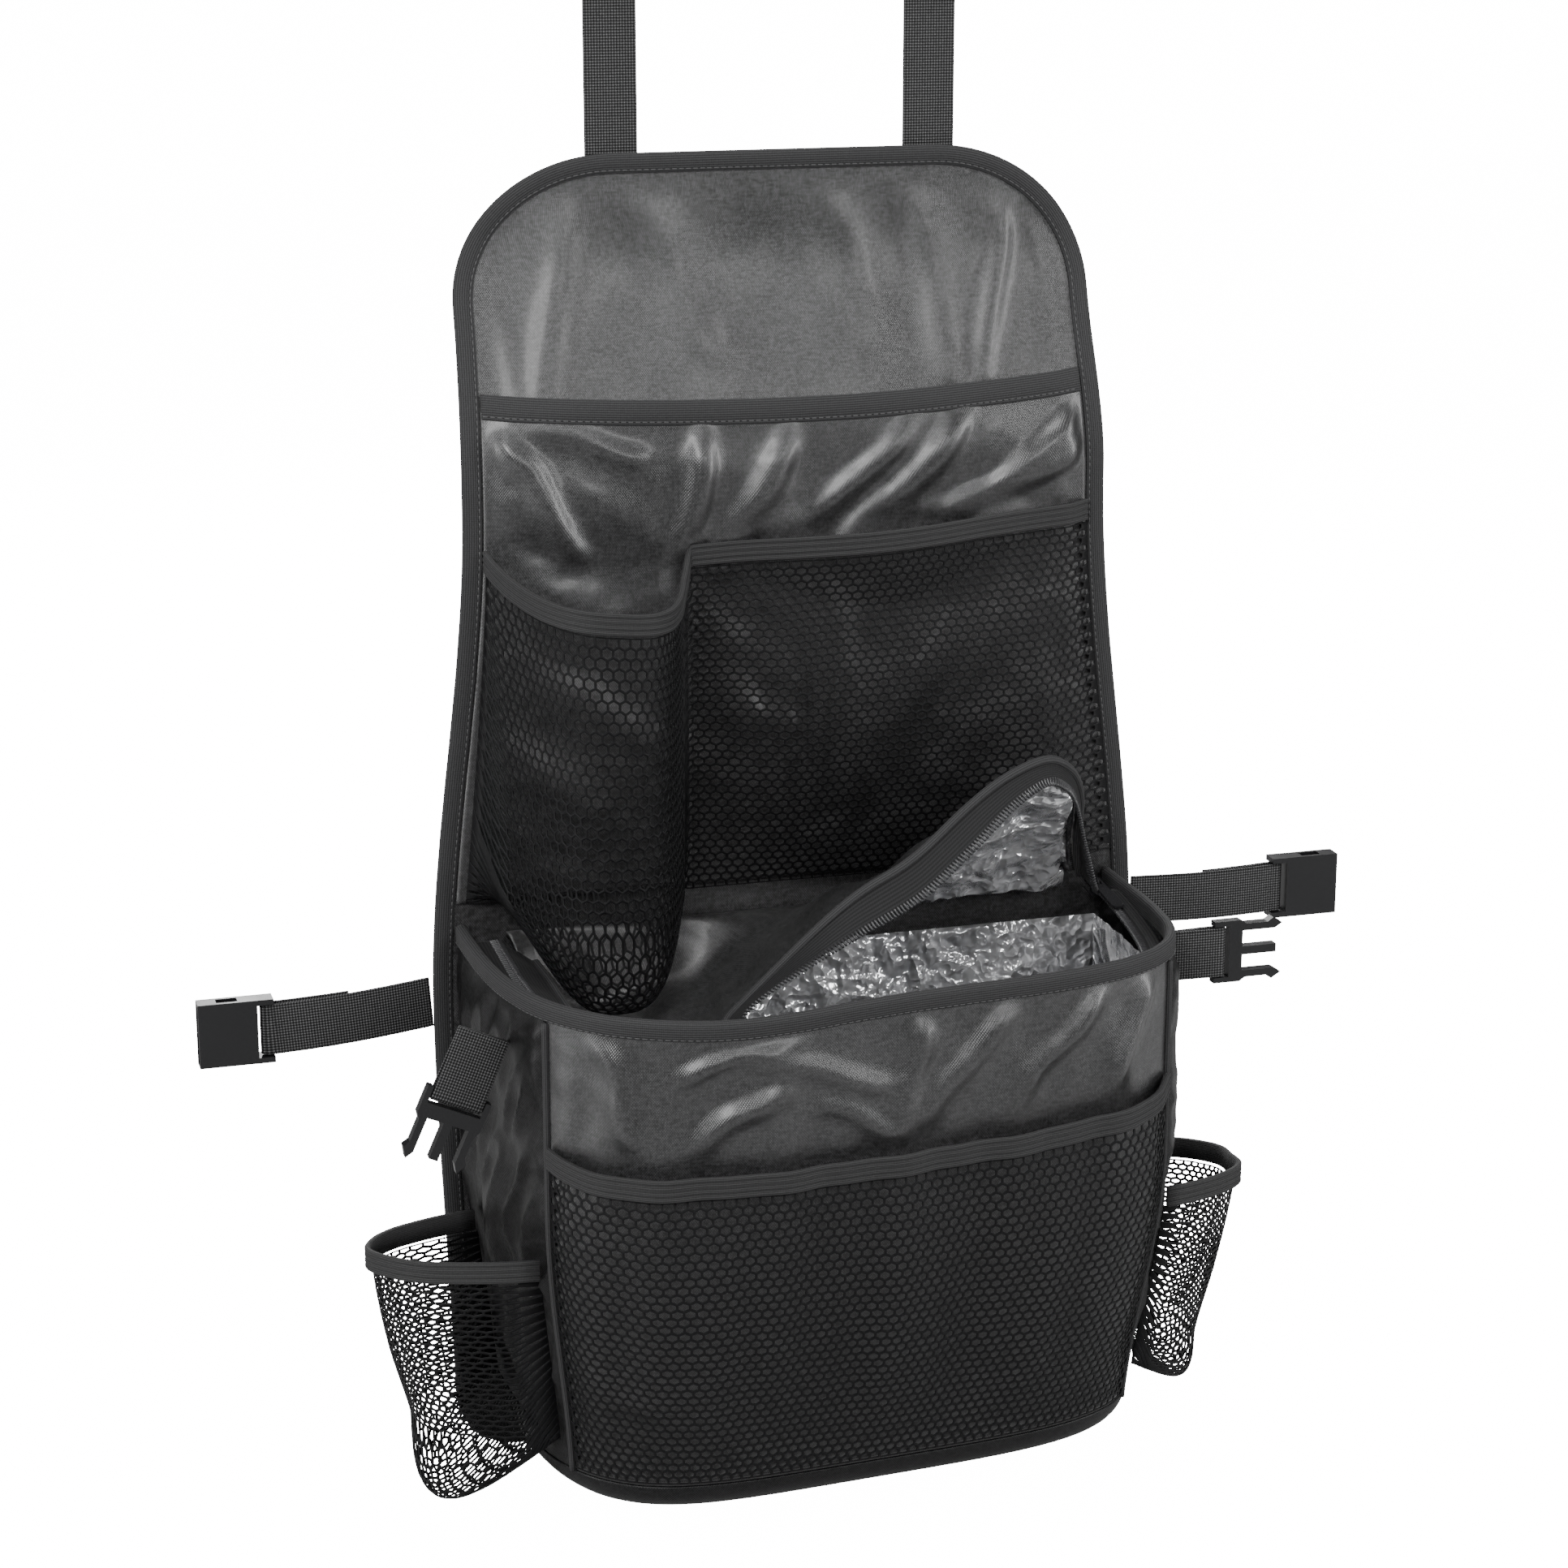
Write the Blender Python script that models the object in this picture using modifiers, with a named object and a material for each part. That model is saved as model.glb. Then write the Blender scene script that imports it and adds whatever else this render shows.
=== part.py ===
"""Car seat organizer: a tall bound back panel with a document pocket, an elastic-topped
mesh pocket with a round pouch, an insulated cooler with a zipped lid, a front mesh
pocket, two rounded side mesh pockets, headrest loops and waist straps with buckles.

Metres, +Z up. The origin is on the back face of the back panel, centred, at the level of
the cooler's floor. The user looks along +Y, so the pockets face -Y.
"""
import math

import bmesh
import bpy
from mathutils import Matrix, Vector

# Clearances and cloth
GAP = 0.0004                # between pieces that are sewn or rest together
NYLON = 0.0009
MESH = 0.0014
ELASTIC = 0.0026            # folded elastic band
BAND_HEIGHT = 0.011
TAPE = 0.0008               # binding and zip tape
WEBBING = 0.0014
WEBBING_WIDTH = 0.025

# Back panel
PANEL_BOTTOM = -0.020
PANEL_TOP = 0.612
PANEL_THICK = 0.0020
FOOT_HALF = 0.172
HIP_HALF = 0.178            # widest, beside the cooler
HIP_Z = 0.215
WAIST_HALF = 0.158          # narrower, at the document pocket
WAIST_Z = 0.455
CHEST_HALF = 0.1555         # where the shoulders start
SHOULDER_WIDTH = 0.076
SHOULDER_HEIGHT = 0.067
FOOT_RADIUS = 0.030
BINDING_WIDTH = 0.008
BINDING_PLAY = 0.0006       # between the binding and the panel's front
BINDING_PLAY_BACK = 0.0006  # and its back, where the edge is pressed in
LEAN_BACK = 0.029           # how far the top leans over the seat
LEAN_FROM = 0.458
LEAN_TO = 0.584
FOLD_DEPTH = 0.0016
FOLD_PITCH = 0.074
FOLD_FADE = 0.016           # from the binding to where pockets stand clear of the folds
FOLD_FROM = 0.300           # the panel is flat below this, where the cooler hangs

# Document pocket
DOCUMENT_TOP = 0.507
DOCUMENT_BOTTOM = 0.264
DOCUMENT_MOUTH = 0.011      # how far the mouth stands open at the middle
DOCUMENT_SAG = 0.006
DOCUMENT_STAND = 0.0038     # room for the pocket's own folds
HEM_HEIGHT = 0.012

# Upper mesh pocket and its round pouch
UPPER_TOP = 0.444
UPPER_DIVIDER_TOP = 0.434
UPPER_BOTTOM = 0.264
UPPER_BULGE = 0.020
UPPER_MOUTH = 0.016
POUCH_X = -0.103
POUCH_HALF = 0.050          # half the width of the pouch where it meets the panel
POUCH_DEPTH = 0.070
POUCH_DIP = 0.020           # how far the elastic dips round the pouch
POUCH_LOW = 0.268
POUCH_SAG = 0.044           # how far its rounded bottom hangs below that
POUCH_SHARE = 0.74          # share of the cloth above a pouch's rounded bottom
BOTTOM_POWER = 2.2          # fullness of that bottom

# Openings across and up in the coarse net that stands for each mesh cloth
POUCH_COLUMNS = 8
WIDE_COLUMNS = 6
UPPER_LEVELS = [0, 0.09, 0.18, 0.28, 0.44, 0.62, 0.81, 1]
FRONT_COLUMNS = 10
FRONT_ROWS = 5
SIDE_COLUMNS = 6
SIDE_LEVELS = [0, 0.10, 0.20, 0.32, 0.54, 0.77, 1]
NET_STRAND = 0.0042

# Cooler
COOLER_HALF = 0.167
COOLER_DEPTH = 0.160
POWER_LEFT = 3.6            # squareness of the plan at each front corner
POWER_RIGHT = 4.8
COOLER_SKEW = 0.07          # the left side stands further out than the right
COOLER_TOP = 0.254
COOLER_BACK = -0.0030       # front face of the panel, with its clearance
TAPER_SIDE = 0.085
TAPER_FRONT = 0.120
TAPER_FROM = 0.150          # the walls draw in below this
FLOOR_RADIUS = 0.015
PAN_TOP = 0.015             # upper edge of the bottom panel
WALL = 0.0034
LINER = 0.0009
LINER_DROP = 0.0180         # liner's upper edge below the rim
CORNER_SHARE = 0.219        # share of the rim's length at the front corner seams
SIDE_START = 0.002          # share where the side walls start at the panel
RIM_HEIGHT = 0.010
RIM_THICK = 0.0052
RIM_SAG = 0.0040
RIM_SAG_X = -0.065
RIM_SAG_REACH = 0.055
WALL_FOLD = 0.0016

# Zip
ZIP_DROP_BACK = 0.004       # zip tape below the rim at the back and at the front
ZIP_DROP_FRONT = 0.013
ZIP_TAPE_WIDTH = 0.0075
COIL_RADIUS = 0.0012
ZIP_START = 0.035           # share of the rim where the zip starts at the left
ZIP_CLOSED_TO = 0.385       # share of the rim up to which the zip is closed
ZIP_END = 0.952             # share of the rim where the rim's tape ends at the right

# Lid
LID_THICK = 0.0030
LID_HINGE_Z = 0.249
LID_HINGE_HALF = 0.146
LID_SKIRT = 0.018           # cloth between the lid's piping and the zip
LID_PRESSED = 0.010         # the closed part's piping below its zip
LID_DENT = 0.027            # dent pressed by the round pouch
LID_DENT_Y = -0.041
LID_DENT_RADIUS = 0.060
LID_DENT_RAMP = 0.026       # from the hinge to the full dent
PIPING_RADIUS = 0.0022
LIFTED_EDGE = [             # the open zip edge of the lid, from the closed part to the slider
    (-0.059, -0.139, 0.248),
    (-0.013, -0.127, 0.269),
    (0.027, -0.115, 0.283),
    (0.056, -0.105, 0.301),
    (0.081, -0.095, 0.318),
    (0.101, -0.085, 0.325),
    (0.115, -0.075, 0.319),
    (0.127, -0.060, 0.3045),
    (0.138, -0.044, 0.277),
    (0.1450, -0.0355, 0.2590),
    (0.1498, -0.0290, 0.2500),
]

# Front and side mesh pockets
FRONT_TOP = 0.186
FRONT_DIP = 0.006
FRONT_RISE = 0.004          # how much higher its right end is
FRONT_BULGE = 0.008
FRONT_MOUTH = 0.78          # share of the bulge left where the mouth stands open
FRONT_BOTTOM = 0.017
SIDE_TOP = 0.122
SIDE_RISE = 0.006           # how much higher the elastic is at the front seam
SIDE_LOW = 0.030
SIDE_SAG_LEFT = 0.040
SIDE_SAG_RIGHT = 0.024
SIDE_REACH_LEFT = 0.057
SIDE_REACH_RIGHT = 0.041
SIDE_FROM_SHARE = 0.045     # share of the rim's length where the side pockets start
SIDE_TO_SHARE = 0.208
SIDE_TAPER = 0.10

# Straps
HEADREST_X = 0.078
LOOP_TOP = 0.768
LOOP_RADIUS = 0.013
STRAP_SEWN = 0.030
LOOP_HEIGHT = 0.076         # from the slide's foot to the loop's top
SLIDE_HEIGHT = 0.018
WAIST_LEFT_Z = 0.216
WAIST_RIGHT_Z = 0.235
WAIST_FALL = 0.006          # how far the left one droops
WAIST_REACH = 0.258         # from the centre to the buckle bars of the waist straps
TAB_LEFT_SHARE = 0.165      # shares of the rim's length where the side tabs are sewn on
TAB_RIGHT_SHARE = 0.885
TAB_LEFT_Z = 0.2255
TAB_RIGHT_Z = 0.226
TAB_LENGTH = 0.032
TAB_LEFT_FALL = math.radians(66)

# Side release buckle for 25 mm webbing
BUCKLE_HALF = 0.0158
BUCKLE_THICK = 0.0052
SLOT_HALF = 0.0131
SLOT_LENGTH = 0.0042
BAR = 0.0036
BAR_THICK = 0.0026
PRONG_LENGTH = 0.022
PRONG_WIDTH = 0.0042
SOCKET_LENGTH = 0.025
SOCKET_THICK = 0.0092
SHELL = 0.0016
NECK = 0.006                # plastic between the webbing's slot and the prongs
WINDOW_FROM = 0.006         # the windows for the prongs' tips, from the socket's inner end
WINDOW_TO = 0.016
CUT_REACH = 0.010

# Zip slider and its pull
SLIDER_LENGTH = 0.0105
SLIDER_WIDTH = 0.0080
SLIDER_PLATE = 0.0010
SLIDER_HEIGHT = 0.0046
PULL_LENGTH = 0.032
PULL_WIDTH = 0.0062
PULL_THICK = 0.0012
PULL_LIFT = 0.0012          # hinge of the pull above the slider
PULL_EYE = 0.0014
PULL_EYE_LENGTH = 0.0048
BAIL_WIRE = 0.0006
BAIL_HEIGHT = 0.0031
SLIDER_SHARE = 0.964        # share of the rim's length where the slider is parked
SLIDER_SHIFT = 0.0010       # towards the rim
SLIDER_TILT = math.radians(8)


def clear_scene():
    for obj in list(bpy.data.objects):
        bpy.data.objects.remove(obj, do_unlink=True)


def collection(name):
    made = bpy.data.collections.new(name)
    bpy.context.scene.collection.children.link(made)
    return made


clear_scene()
PARTS = collection("car_seat_organizer")
CUTTERS = collection("cutters")


def material(name, colour, roughness, metallic=0.0):
    made = bpy.data.materials.new(name)
    made.use_nodes = True
    shader = made.node_tree.nodes["Principled BSDF"]
    shader.inputs["Base Color"].default_value = (*colour, 1.0)
    shader.inputs["Roughness"].default_value = roughness
    shader.inputs["Metallic"].default_value = metallic
    return made


def smooth(t):
    t = min(1.0, max(0.0, t))
    return t * t * (3 - 2 * t)


def mix(a, b, t):
    return a + (b - a) * t


def spread(a, b, count):
    return [mix(a, b, i / (count - 1)) for i in range(count)]


# Making objects

def add_object(name, bm, mat):
    mesh = bpy.data.meshes.new(name)
    bm.to_mesh(mesh)
    bm.free()
    mesh.materials.append(mat)
    obj = bpy.data.objects.new(name, mesh)
    PARTS.objects.link(obj)
    return obj


def thicken(obj, thickness, offset):
    solid = obj.modifiers.new("Thickness", "SOLIDIFY")
    solid.thickness = thickness
    solid.offset = offset
    return obj


def shade(obj):
    obj.data.shade_smooth()
    obj.data.set_sharp_from_angle(angle=math.radians(40))
    return obj


def sheet(name, place, across, upward, thickness, mat, offset=1.0):
    """Cloth through place(u, v), thickened along its normal (offset 1) or against it (-1)."""
    bm = bmesh.new()
    rows = [[bm.verts.new(place(u, v)) for u in across] for v in upward]
    for low, high in zip(rows, rows[1:]):
        for i in range(len(across) - 1):
            bm.faces.new((low[i], low[i + 1], high[i + 1], high[i]))
    return thicken(shade(add_object(name, bm, mat)), thickness, offset)


def net(name, place, columns, levels, mat):
    """Mesh cloth through place(u, v): rows of six-sided openings between strands."""
    bm = bmesh.new()
    halves = 2 * columns
    lines = []
    for j, level in enumerate(levels):
        line = []
        for i in range(halves + 1):
            zigzag = 0.0
            if 0 < j < len(levels) - 1:
                zigzag = (1 if (i + j) % 2 == 0 else -1) * (level - levels[j - 1]) / 6
            line.append(bm.verts.new(place(i / halves, level + zigzag)))
        lines.append(line)
    cells = []
    for j in range(len(levels) - 1):
        low, high = lines[j], lines[j + 1]
        start = j % 2
        if start:
            bm.faces.new((low[0], low[1], high[1], high[0]))
            bm.faces.new((low[-2], low[-1], high[-1], high[-2]))
        for i in range(start, halves - 1, 2):
            cells.append(bm.faces.new((low[i], low[i + 1], low[i + 2],
                                       high[i + 2], high[i + 1], high[i])))
    bm.normal_update()
    cells = [cell for cell in cells if cell.calc_area() / cell.calc_perimeter() > NET_STRAND]
    bmesh.ops.inset_individual(bm, faces=cells, thickness=NET_STRAND, use_even_offset=True)
    bmesh.ops.delete(bm, geom=cells, context="FACES")
    return thicken(shade(add_object(name, bm, mat)), MESH, 1.0)


def sweep(name, stations, section, mat, closed=False):
    """One body: the section's (side, up) points carried along (place, side axis, up axis)."""
    bm = bmesh.new()
    rings = []
    for place, side, up in stations:
        rings.append([bm.verts.new(place + side * a + up * b) for a, b in section])
    pairs = list(zip(rings, rings[1:]))
    if closed:
        pairs.append((rings[-1], rings[0]))
    count = len(section)
    for one, two in pairs:
        for i in range(count):
            k = (i + 1) % count
            bm.faces.new((one[i], one[k], two[k], two[i]))
    if not closed:
        bm.faces.new(list(reversed(rings[0])))
        bm.faces.new(rings[-1])
    bmesh.ops.recalc_face_normals(bm, faces=bm.faces[:])
    return shade(add_object(name, bm, mat))


def bar_section(half_side, half_up, corner):
    """A rectangle with its corners cut off."""
    a, b, c = half_side, half_up, corner
    return [(-a + c, -b), (a - c, -b), (a, -b + c), (a, b - c),
            (a - c, b), (-a + c, b), (-a, b - c), (-a, -b + c)]


def round_section(radius, count):
    return [(radius * math.cos(math.tau * i / count), radius * math.sin(math.tau * i / count))
            for i in range(count)]


def tangents(points):
    ends = [points[0]] + points + [points[-1]]
    return [(ends[i + 2] - ends[i]).normalized() for i in range(len(points))]


def cord_stations(points, towards):
    """Frames along a line of points, with the up axis kept near the given direction."""
    frames = []
    for place, ahead in zip(points, tangents(points)):
        side = ahead.cross(towards).normalized()
        frames.append((place, side, side.cross(ahead).normalized()))
    return frames


def ribbon(name, points, flats, mat, width=WEBBING_WIDTH, thickness=WEBBING):
    """Webbing along points, with its width near the direction in flats at each point."""
    section = [(-thickness / 2, -width / 2), (thickness / 2, -width / 2),
               (thickness / 2, width / 2), (-thickness / 2, width / 2)]
    frames = []
    for place, ahead, flat in zip(points, tangents(points), flats):
        side = ahead.cross(flat).normalized()
        frames.append((place, side, side.cross(ahead).normalized()))
    return sweep(name, frames, section, mat)


def box(name, low, high, mat, home=None):
    bm = bmesh.new()
    bmesh.ops.create_cube(bm, size=1.0)
    low, high = Vector(low), Vector(high)
    for vert in bm.verts:
        vert.co = Vector(mix(a, b, c + 0.5) for a, b, c in zip(low, high, vert.co))
    obj = add_object(name, bm, mat)
    if home is not None:
        PARTS.objects.unlink(obj)
        home.objects.link(obj)
        obj.hide_render = True
        obj.display_type = "WIRE"
    return obj


def cut(target, tool, operation="DIFFERENCE"):
    change = target.modifiers.new(operation.title(), "BOOLEAN")
    change.operation = operation
    change.solver = "EXACT"
    change.object = tool


def round_edges(obj, width, segments=1):
    bevel = obj.modifiers.new("Rounded edges", "BEVEL")
    bevel.width = width
    bevel.segments = segments
    bevel.limit_method = "ANGLE"
    bevel.angle_limit = math.radians(50)


def smooth_curve(points, per_span=6):
    """Catmull-Rom line through the points."""
    made = []
    ends = [points[0]] + points + [points[-1]]
    for i in range(1, len(ends) - 2):
        a, b, c, d = ends[i - 1:i + 3]
        for k in range(per_span):
            t = k / per_span
            made.append(0.5 * (2 * b + (c - a) * t + (2 * a - 5 * b + 4 * c - d) * t * t
                               + (3 * b - a - 3 * c + d) * t ** 3))
    return made + [points[-1]]


class Line:
    """A line of points that can be read at any share of its length."""

    def __init__(self, points):
        self.points = points
        self.reach = [0.0]
        for one, two in zip(points, points[1:]):
            self.reach.append(self.reach[-1] + (two - one).length)

    def span(self, share):
        goal = min(1.0, max(0.0, share)) * self.reach[-1]
        i = 0
        while i < len(self.points) - 2 and self.reach[i + 1] < goal:
            i += 1
        return i, (goal - self.reach[i]) / (self.reach[i + 1] - self.reach[i])

    def at(self, share):
        i, t = self.span(share)
        return self.points[i].lerp(self.points[i + 1], t)


# Back panel

def lean(z):
    return LEAN_BACK * smooth((z - LEAN_FROM) / (LEAN_TO - LEAN_FROM))


def lean_slope(z):
    step = 0.002
    return (lean(z + step) - lean(z - step)) / (2 * step)


def panel_half(z):
    """Half the panel's width at a height."""
    if z < HIP_Z:
        half = mix(FOOT_HALF, HIP_HALF, smooth((z - PANEL_BOTTOM) / (HIP_Z - PANEL_BOTTOM)))
    else:
        half = mix(HIP_HALF, WAIST_HALF, smooth((z - HIP_Z) / (WAIST_Z - HIP_Z)))
    chest = PANEL_TOP - SHOULDER_HEIGHT
    half = mix(half, CHEST_HALF, smooth((z - WAIST_Z) / (chest - WAIST_Z)))
    if z > chest:
        rise = min(1.0, (z - chest) / SHOULDER_HEIGHT)
        half -= SHOULDER_WIDTH * (1 - math.sqrt(1 - rise * rise))
    if z < PANEL_BOTTOM + FOOT_RADIUS:
        drop = 1 - (z - PANEL_BOTTOM) / FOOT_RADIUS
        half -= FOOT_RADIUS * (1 - math.sqrt(max(0.0, 1 - drop * drop)))
    return half


def panel_fold(x, z):
    """Soft upright folds, fading out towards the binding and behind the cooler."""
    inside = smooth((panel_half(z) - BINDING_WIDTH - abs(x)) / 0.030)
    up = smooth((z - FOLD_FROM) / 0.060) * smooth((PANEL_TOP - BINDING_WIDTH - z) / 0.030)
    wave = math.sin(math.tau * x / FOLD_PITCH + 9 * z) + 0.4 * math.sin(31 * x - 14 * z + 1)
    return FOLD_DEPTH * inside * up * (1 + wave) / 2


EDGE_PRESS = TAPE + BINDING_PLAY_BACK + 0.00005      # brings the binding flush with the back
PRESS_WIDTH = BINDING_WIDTH + 0.005
PRESS_FADE = 0.005


def panel_press(x, z):
    """How far the back of the board is pressed in under the binding."""
    inward = min(panel_half(z) - abs(x), z - PANEL_BOTTOM, PANEL_TOP - z)
    return EDGE_PRESS * (1 - min(1.0, max(0.0, (inward - PRESS_WIDTH) / PRESS_FADE)))


def panel_columns(z):
    """Places of the columns across the board, with two on the binding's inner line."""
    half = panel_half(z)
    flat = half - PRESS_WIDTH - PRESS_FADE
    inner = spread(-flat, flat, 15)
    return [-half, -half + PRESS_WIDTH] + inner + [half - PRESS_WIDTH, half]


def panel_levels():
    """Heights of the panel's rows, close together round its corners."""
    levels = [PANEL_BOTTOM + FOOT_RADIUS * (1 - math.cos(math.pi / 2 * i / 4)) for i in range(5)]
    levels += [PANEL_BOTTOM + PRESS_WIDTH, PANEL_BOTTOM + PRESS_WIDTH + PRESS_FADE]
    levels.sort()
    levels += spread(PANEL_BOTTOM + FOOT_RADIUS, FOLD_FROM, 9)[1:]
    chest = PANEL_TOP - SHOULDER_HEIGHT
    levels += spread(FOLD_FROM, chest, 11)[1:]
    levels += [chest + SHOULDER_HEIGHT * math.sin(math.pi / 2 * i / 7) for i in range(1, 8)]
    return levels


def back_panel(mat):
    """One board, with a thinner edge all round that the binding grips."""
    bm = bmesh.new()
    fronts, backs = [], []
    for z in panel_levels():
        front, back = [], []
        for x in panel_columns(z):
            y = lean(z) - panel_fold(x, z)
            front.append(bm.verts.new((x, y - PANEL_THICK, z)))
            back.append(bm.verts.new((x, y - panel_press(x, z), z)))
        fronts.append(front)
        backs.append(back)
    for rows, turned in ((fronts, False), (backs, True)):
        for low, high in zip(rows, rows[1:]):
            for i in range(len(low) - 1):
                face = (low[i], low[i + 1], high[i + 1], high[i])
                bm.faces.new(tuple(reversed(face)) if turned else face)
    for front, back in zip(zip(fronts, fronts[1:]), zip(backs, backs[1:])):
        bm.faces.new((front[0][0], front[1][0], back[1][0], back[0][0]))
        bm.faces.new((front[0][-1], back[0][-1], back[1][-1], front[1][-1]))
    for i in range(len(fronts[0]) - 1):
        bm.faces.new((fronts[0][i], backs[0][i], backs[0][i + 1], fronts[0][i + 1]))
        bm.faces.new((fronts[-1][i], fronts[-1][i + 1], backs[-1][i + 1], backs[-1][i]))
    shade(add_object("back_panel", bm, mat))


def panel_outline():
    levels = panel_levels()
    right = [Vector((panel_half(z), lean(z), z)) for z in levels]
    left = [Vector((-p.x, p.y, p.z)) for p in reversed(right)]
    top = right[-1]
    foot = right[0]
    over = [Vector((x, top.y, top.z)) for x in spread(top.x, -top.x, 5)[1:-1]]
    under = [Vector((x, foot.y, foot.z)) for x in spread(-foot.x, foot.x, 5)[1:-1]]
    return right + over + left + under


def back_panel_binding(mat):
    outline = panel_outline()
    count = len(outline)
    frames = []
    for i, place in enumerate(outline):
        ahead = outline[(i + 1) % count] - outline[i - 1]
        inward = Vector((-ahead.z, 0.0, ahead.x)).normalized()
        inward.y = lean_slope(place.z) * inward.z
        frames.append((place, inward, Vector((0, 1, 0))))
    front = -PANEL_THICK - BINDING_PLAY
    back = BINDING_PLAY_BACK - EDGE_PRESS
    section = [(BINDING_WIDTH, front - TAPE), (-GAP - TAPE, front - TAPE),
               (-GAP - TAPE, back + TAPE), (BINDING_WIDTH, back + TAPE),
               (BINDING_WIDTH, back), (-GAP, back), (-GAP, front), (BINDING_WIDTH, front)]
    sweep("back_panel_binding", frames, section, mat, closed=True)


# Document pocket

def pocket_half(z):
    """Half the width between the inner edges of the binding."""
    return panel_half(z) - BINDING_WIDTH - 2 * GAP


def panel_face(x, z):
    """The front of the panel and its folds, with a clearance."""
    inside = smooth((panel_half(z) - BINDING_WIDTH - abs(x)) / FOLD_FADE)
    return lean(z) - PANEL_THICK - GAP - FOLD_DEPTH * 1.25 * inside


def document_top(u):
    return DOCUMENT_TOP - DOCUMENT_SAG * (1 - u * u)


def document_place(u, v):
    """The back of the document pocket's cloth: v runs from its foot to its upper edge."""
    z = mix(DOCUMENT_BOTTOM, document_top(u), v)
    x = u * pocket_half(z)
    open_by = DOCUMENT_MOUTH * v ** 5 * (1 - u * u)
    edge = smooth((1 - abs(u)) / 0.20)
    slant = math.sin(52 * x + 30 * (1 - v) * (0.4 + abs(u)) * (1 if x < 0 else -1))
    fold = 0.0030 * edge * (0.5 + 0.5 * slant) * smooth(v / 0.4) * (1 - 0.6 * v ** 4)
    return Vector((x, panel_face(x, z) - open_by - fold, z))


def document_pocket(mat):
    hem = HEM_HEIGHT / (DOCUMENT_TOP - DOCUMENT_BOTTOM)
    levels = spread(0, 1 - hem - 0.004, 11)
    sheet("document_pocket", document_place, spread(-1, 1, 21), levels, NYLON, mat)


def document_pocket_hem(mat):
    frames = []
    share = HEM_HEIGHT / (DOCUMENT_TOP - DOCUMENT_BOTTOM)
    for u in spread(-1, 1, 21):
        low, top = document_place(u, 1 - share), document_place(u, 1)
        frames.append(((low + top) / 2, Vector((0, -1, 0)), (top - low).normalized()))
    thick = NYLON * 2
    section = [(0, -HEM_HEIGHT / 2), (thick, -HEM_HEIGHT / 2 + NYLON / 2),
               (thick, HEM_HEIGHT / 2 - NYLON / 2), (0, HEM_HEIGHT / 2)]
    sweep("document_pocket_hem", frames, section, mat)


# Upper mesh pocket

def pouch_depth(x):
    """How far the round pouch stands off the panel at x."""
    off = abs(x - POUCH_X) / POUCH_HALF
    return POUCH_DEPTH * max(0.0, 1 - off ** 3) ** 1.6


def bottom_drop(part):
    """How far a pouch's rounded bottom hangs down, along its cloth from the outside in."""
    return max(0.0, math.sin(math.pi * part)) ** 0.7


def upper_top(x):
    half = pocket_half(UPPER_TOP)
    divider = POUCH_X + POUCH_HALF
    if x < divider:
        base = mix(UPPER_TOP, UPPER_DIVIDER_TOP, (x + half) / (divider + half))
    else:
        base = mix(UPPER_DIVIDER_TOP, UPPER_TOP, (x - divider) / (half - divider))
    off = min(1.0, abs(x - POUCH_X) / POUCH_HALF)
    return base - POUCH_DIP * (1 - off ** 6)


UPPER_LINE = Line([Vector((u, -pouch_depth(u * pocket_half(UPPER_TOP)) / pocket_half(UPPER_TOP), 0))
                   for u in spread(-1, 1, 161)])


def upper_place(s, v, top_drop=0.0):
    """The back of the mesh: s runs across along the cloth, v upwards."""
    u = UPPER_LINE.at(s).x
    x = u * pocket_half(UPPER_TOP)
    depth = pouch_depth(x)
    top = upper_top(x) - top_drop
    down = 1 - v
    wide = smooth((x - POUCH_X - POUCH_HALF) / 0.05) * smooth((1 - abs(u)) / 0.25)
    if down < POUCH_SHARE:
        z = mix(top, POUCH_LOW, down / POUCH_SHARE)
        reach = depth
    else:
        part = (down - POUCH_SHARE) / (1 - POUCH_SHARE)
        reach = depth * (1 - part ** BOTTOM_POWER)
        z = POUCH_LOW - POUCH_SAG * (depth / POUCH_DEPTH) ** 1.6 * bottom_drop(part)
    flat_z = mix(top, UPPER_BOTTOM, down)
    share = smooth(depth / (0.25 * POUCH_DEPTH))
    z = mix(flat_z, z, share)
    x *= mix(1.0, pocket_half(z) / pocket_half(UPPER_TOP), abs(u) ** 3 * (1 - share))
    bulge = UPPER_BULGE * wide * math.sin(math.pi * min(1.0, down * 1.02)) ** 0.8
    mouth = UPPER_MOUTH * wide * v * v * (0.6 + 0.4 * math.sin(38 * x))
    pleat = 0.0016 * share * math.sin(260 * s) * (1 - abs(2 * v - 1)) * 0.5
    stand = GAP + DOCUMENT_STAND * smooth((1 - abs(u)) / 0.08)
    y = panel_face(x, z) - NYLON - GAP - stand - reach - max(bulge, mouth) - pleat
    return Vector((x, min(y, panel_face(x, z) - NYLON - GAP), z))


def mesh_edges():
    """Shares of the cloth's length across where the pouch ends and the wide pocket starts."""
    half = pocket_half(UPPER_TOP)
    goal = (POUCH_X + POUCH_HALF) / half
    divider = min(spread(0, 1, 401), key=lambda s: abs(UPPER_LINE.at(s).x - goal))
    seam = (MESH + GAP) / (UPPER_LINE.reach[-1] * half)
    return divider - seam, divider + seam


def mesh_shares():
    """The shares of both meshes' columns."""
    left, right = mesh_edges()
    return spread(0, left, 2 * POUCH_COLUMNS + 1) + spread(right, 1, 2 * WIDE_COLUMNS + 1)


def upper_mesh(name, first, last, columns, mat):
    def place(s, v):
        return upper_place(mix(first, last, s), v, BAND_HEIGHT + 2 * GAP)

    net(name, place, columns, UPPER_LEVELS, mat)


def upper_meshes(mat):
    """The round pouch and the wide pocket, sewn down side by side."""
    left, right = mesh_edges()
    upper_mesh("pouch_mesh", 0, left, POUCH_COLUMNS, mat)
    upper_mesh("upper_mesh_pocket", right, 1, WIDE_COLUMNS, mat)


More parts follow.
